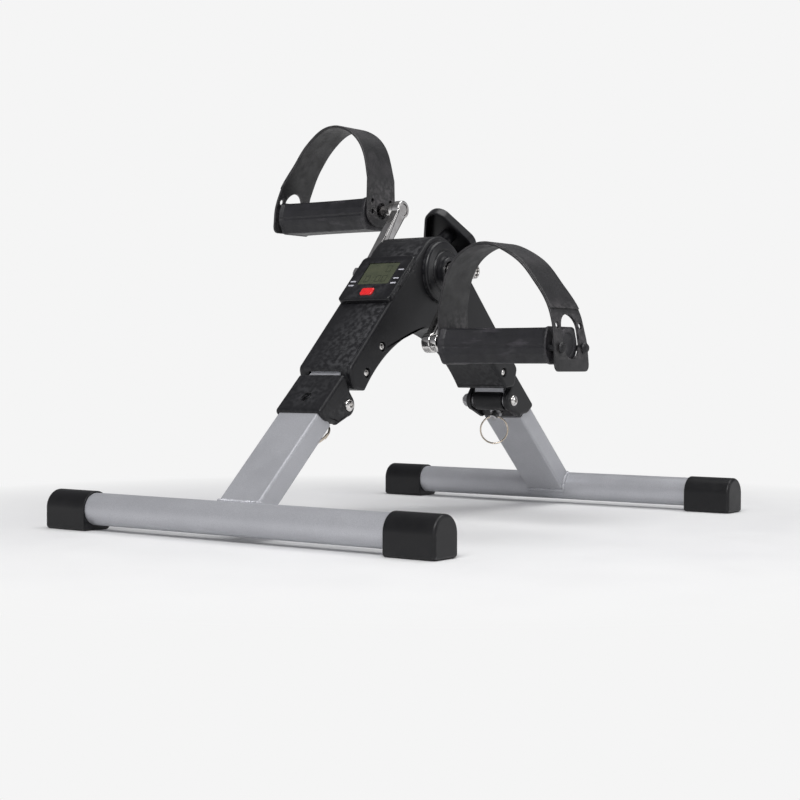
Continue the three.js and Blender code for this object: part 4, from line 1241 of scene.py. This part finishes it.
def tension_knob():
    """Three lobes, a thick rolled rim and a hollow underside with a central boss."""
    body = prism(lobed(KNOB_LOBE), KNOB_RIM, KNOB_TOP, "z", BRAKE, edge=1.1, far_edge=4.2, steps=7)
    hollow = prism(lobed(KNOB_LOBE - 2.4), KNOB_RIM - 2, KNOB_TOP - 2.2, "z", BRAKE)
    boss = rod(7, (0, 0, KNOB_RIM - 8), (0, 0, KNOB_TOP - 1.7), BRAKE)
    knob = joined(cut(body, hollow), boss)
    return cut(knob, rod(4.3, (0, 0, 40), (0, 0, KNOB_TOP - 4.2), BRAKE))


def tension_screw():
    """A screw thread drawn as one helical skin."""
    low, high, pitch, sides = 21.3, KNOB_TOP - 5.2, 1.25, 32
    rows = int((high - low) / pitch * 8)
    loops = []
    for i in range(rows + 1):
        z = low + (high - low) * i / rows
        loop = []
        for k in range(sides):
            phase = (z / pitch - k / sides) % 1
            radius = 3.25 + 0.75 * (1 - abs(2 * phase - 1))
            loop.append((radius * math.cos(TAU * k / sides), radius * math.sin(TAU * k / sides), z))
        loops.append(loop)
    return skin(loops, BRAKE)


def brake_pieces():
    piece("knob", tension_knob(), "gloss_plastic", "knob", "tension_knob")
    piece("knob_screw", tension_screw(), "zinc_steel", "knob", "tension_screw")


# ---------------------------------------------------------------- carried-over CAD nodes

CARRIED = {
    "main_frame": "silver_paint",
    "near_hinge_bracket": "zinc_steel",
    "far_hinge_bracket": "zinc_steel",
    "bearing_left": "zinc_steel",
    "bearing_right": "zinc_steel",
    "magnet_collar": "black_plastic",
    "reed_switch": "black_plastic",
    "circuit_board": "circuit_board",
    "button_cell": "zinc_steel",
    "friction_pad": "felt",
}


def dress_cad():
    for node, look in CARRIED.items():
        mesh = frame["nodes"][node].data
        mesh.materials.clear()
        mesh.materials.append(LOOKS[look])


# ---------------------------------------------------------------- studio

WHITE = 0.913  # the backdrop's grey level


def floor_material():
    """A pale floor that fades into the backdrop with distance."""
    g = Graph("floor")
    g.colour(g.blend(g.spread(g.noise(160, 4), 0, 1), (0.86, 0.86, 0.865), (0.90, 0.90, 0.90)))
    g.roughness(g.spread(g.noise(60, 4), 0.55, 0.75))
    g.bumps((g.noise(12, 3), 0.05))
    tree = g.tree
    glow = tree.nodes.new("ShaderNodeEmission")
    glow.inputs["Color"].default_value = (WHITE, WHITE, WHITE, 1)
    length = tree.nodes.new("ShaderNodeVectorMath")
    length.operation = "LENGTH"
    tree.links.new(g.position, length.inputs[0])
    fade = g.spread(length.outputs["Value"], 0, 1, 330, 620)
    mix = tree.nodes.new("ShaderNodeMixShader")
    tree.links.new(fade, mix.inputs[0])
    tree.links.new(g.shader.outputs[0], mix.inputs[1])
    tree.links.new(glow.outputs[0], mix.inputs[2])
    tree.links.new(mix.outputs[0], tree.nodes["Material Output"].inputs["Surface"])
    return g.material


def floor():
    made = lathe([(0, -6), (6000, -6), (6000, -0.2), (0, -0.2)], "z", WORLD, 128)
    made.name = "floor"
    made.data.materials.append(floor_material())


def world():
    """White to the camera; to the object, a pale horizon that darkens overhead."""
    made = bpy.data.worlds.new("studio")
    made.use_nodes = True
    tree = made.node_tree
    tree.nodes.clear()
    where = tree.nodes.new("ShaderNodeTexCoord")
    split = tree.nodes.new("ShaderNodeSeparateXYZ")
    tree.links.new(where.outputs["Generated"], split.inputs[0])
    ramp = tree.nodes.new("ShaderNodeValToRGB")
    stops = ramp.color_ramp.elements
    stops[0].position, stops[0].color = 0.0, (0.62, 0.62, 0.64, 1)
    stops[1].position, stops[1].color = 0.55, (0.20, 0.20, 0.21, 1)
    tree.links.new(split.outputs["Z"], ramp.inputs[0])
    lit = tree.nodes.new("ShaderNodeBackground")
    lit.inputs["Strength"].default_value = 0.8
    tree.links.new(ramp.outputs[0], lit.inputs["Color"])
    seen = tree.nodes.new("ShaderNodeBackground")
    seen.inputs["Color"].default_value = (WHITE, WHITE, WHITE, 1)
    path = tree.nodes.new("ShaderNodeLightPath")
    mix = tree.nodes.new("ShaderNodeMixShader")
    tree.links.new(path.outputs["Is Camera Ray"], mix.inputs[0])
    tree.links.new(lit.outputs[0], mix.inputs[1])
    tree.links.new(seen.outputs[0], mix.inputs[2])
    out = tree.nodes.new("ShaderNodeOutputWorld")
    tree.links.new(mix.outputs[0], out.inputs["Surface"])
    bpy.context.scene.world = made


def softbox(name, where, target, width, height, watts):
    data = bpy.data.lights.new(name, "AREA")
    data.shape = "RECTANGLE"
    data.size, data.size_y, data.energy = width, height, watts
    light = bpy.data.objects.new(name, data)
    light.location = where
    light.rotation_euler = (Vector(target) - Vector(where)).to_track_quat("-Z", "Y").to_euler()
    bpy.context.scene.collection.objects.link(light)


def camera():
    data = bpy.data.cameras.new("camera")
    data.lens = 74.67
    data.sensor_width = 36
    data.clip_end = 100
    made = bpy.data.objects.new("camera", data)
    azimuth, elevation, roll = math.radians(-53.842), math.radians(1.156), math.radians(0.132)
    level = math.cos(elevation)
    back = Vector((math.sin(azimuth) * level, -math.cos(azimuth) * level, math.sin(elevation)))
    made.rotation_mode = "QUATERNION"
    made.rotation_quaternion = back.to_track_quat("Z", "Y") @ Matrix.Rotation(roll, 3, "Z").to_quaternion()
    made.location = (-1.2049, -0.8646, 0.1367)
    bpy.context.scene.collection.objects.link(made)
    bpy.context.scene.camera = made


def studio():
    floor()
    world()
    softbox("key", (-1.5, -0.7, 1.7), (0, 0, 0.1), 1.1, 1.1, 34)
    softbox("overhead", (0.4, -0.3, 1.9), (0, 0, 0.1), 1.4, 1.4, 16)
    softbox("fill", (0.9, -1.9, 0.8), (0, 0, 0.15), 0.8, 1.0, 5)
    camera()
    bpy.context.scene.view_settings.view_transform = "Standard"


for end in LEGS:
    leg_pieces(end)
housing_pieces()
counter_pieces()
drive_pieces()
brake_pieces()
dress_cad()
studio()
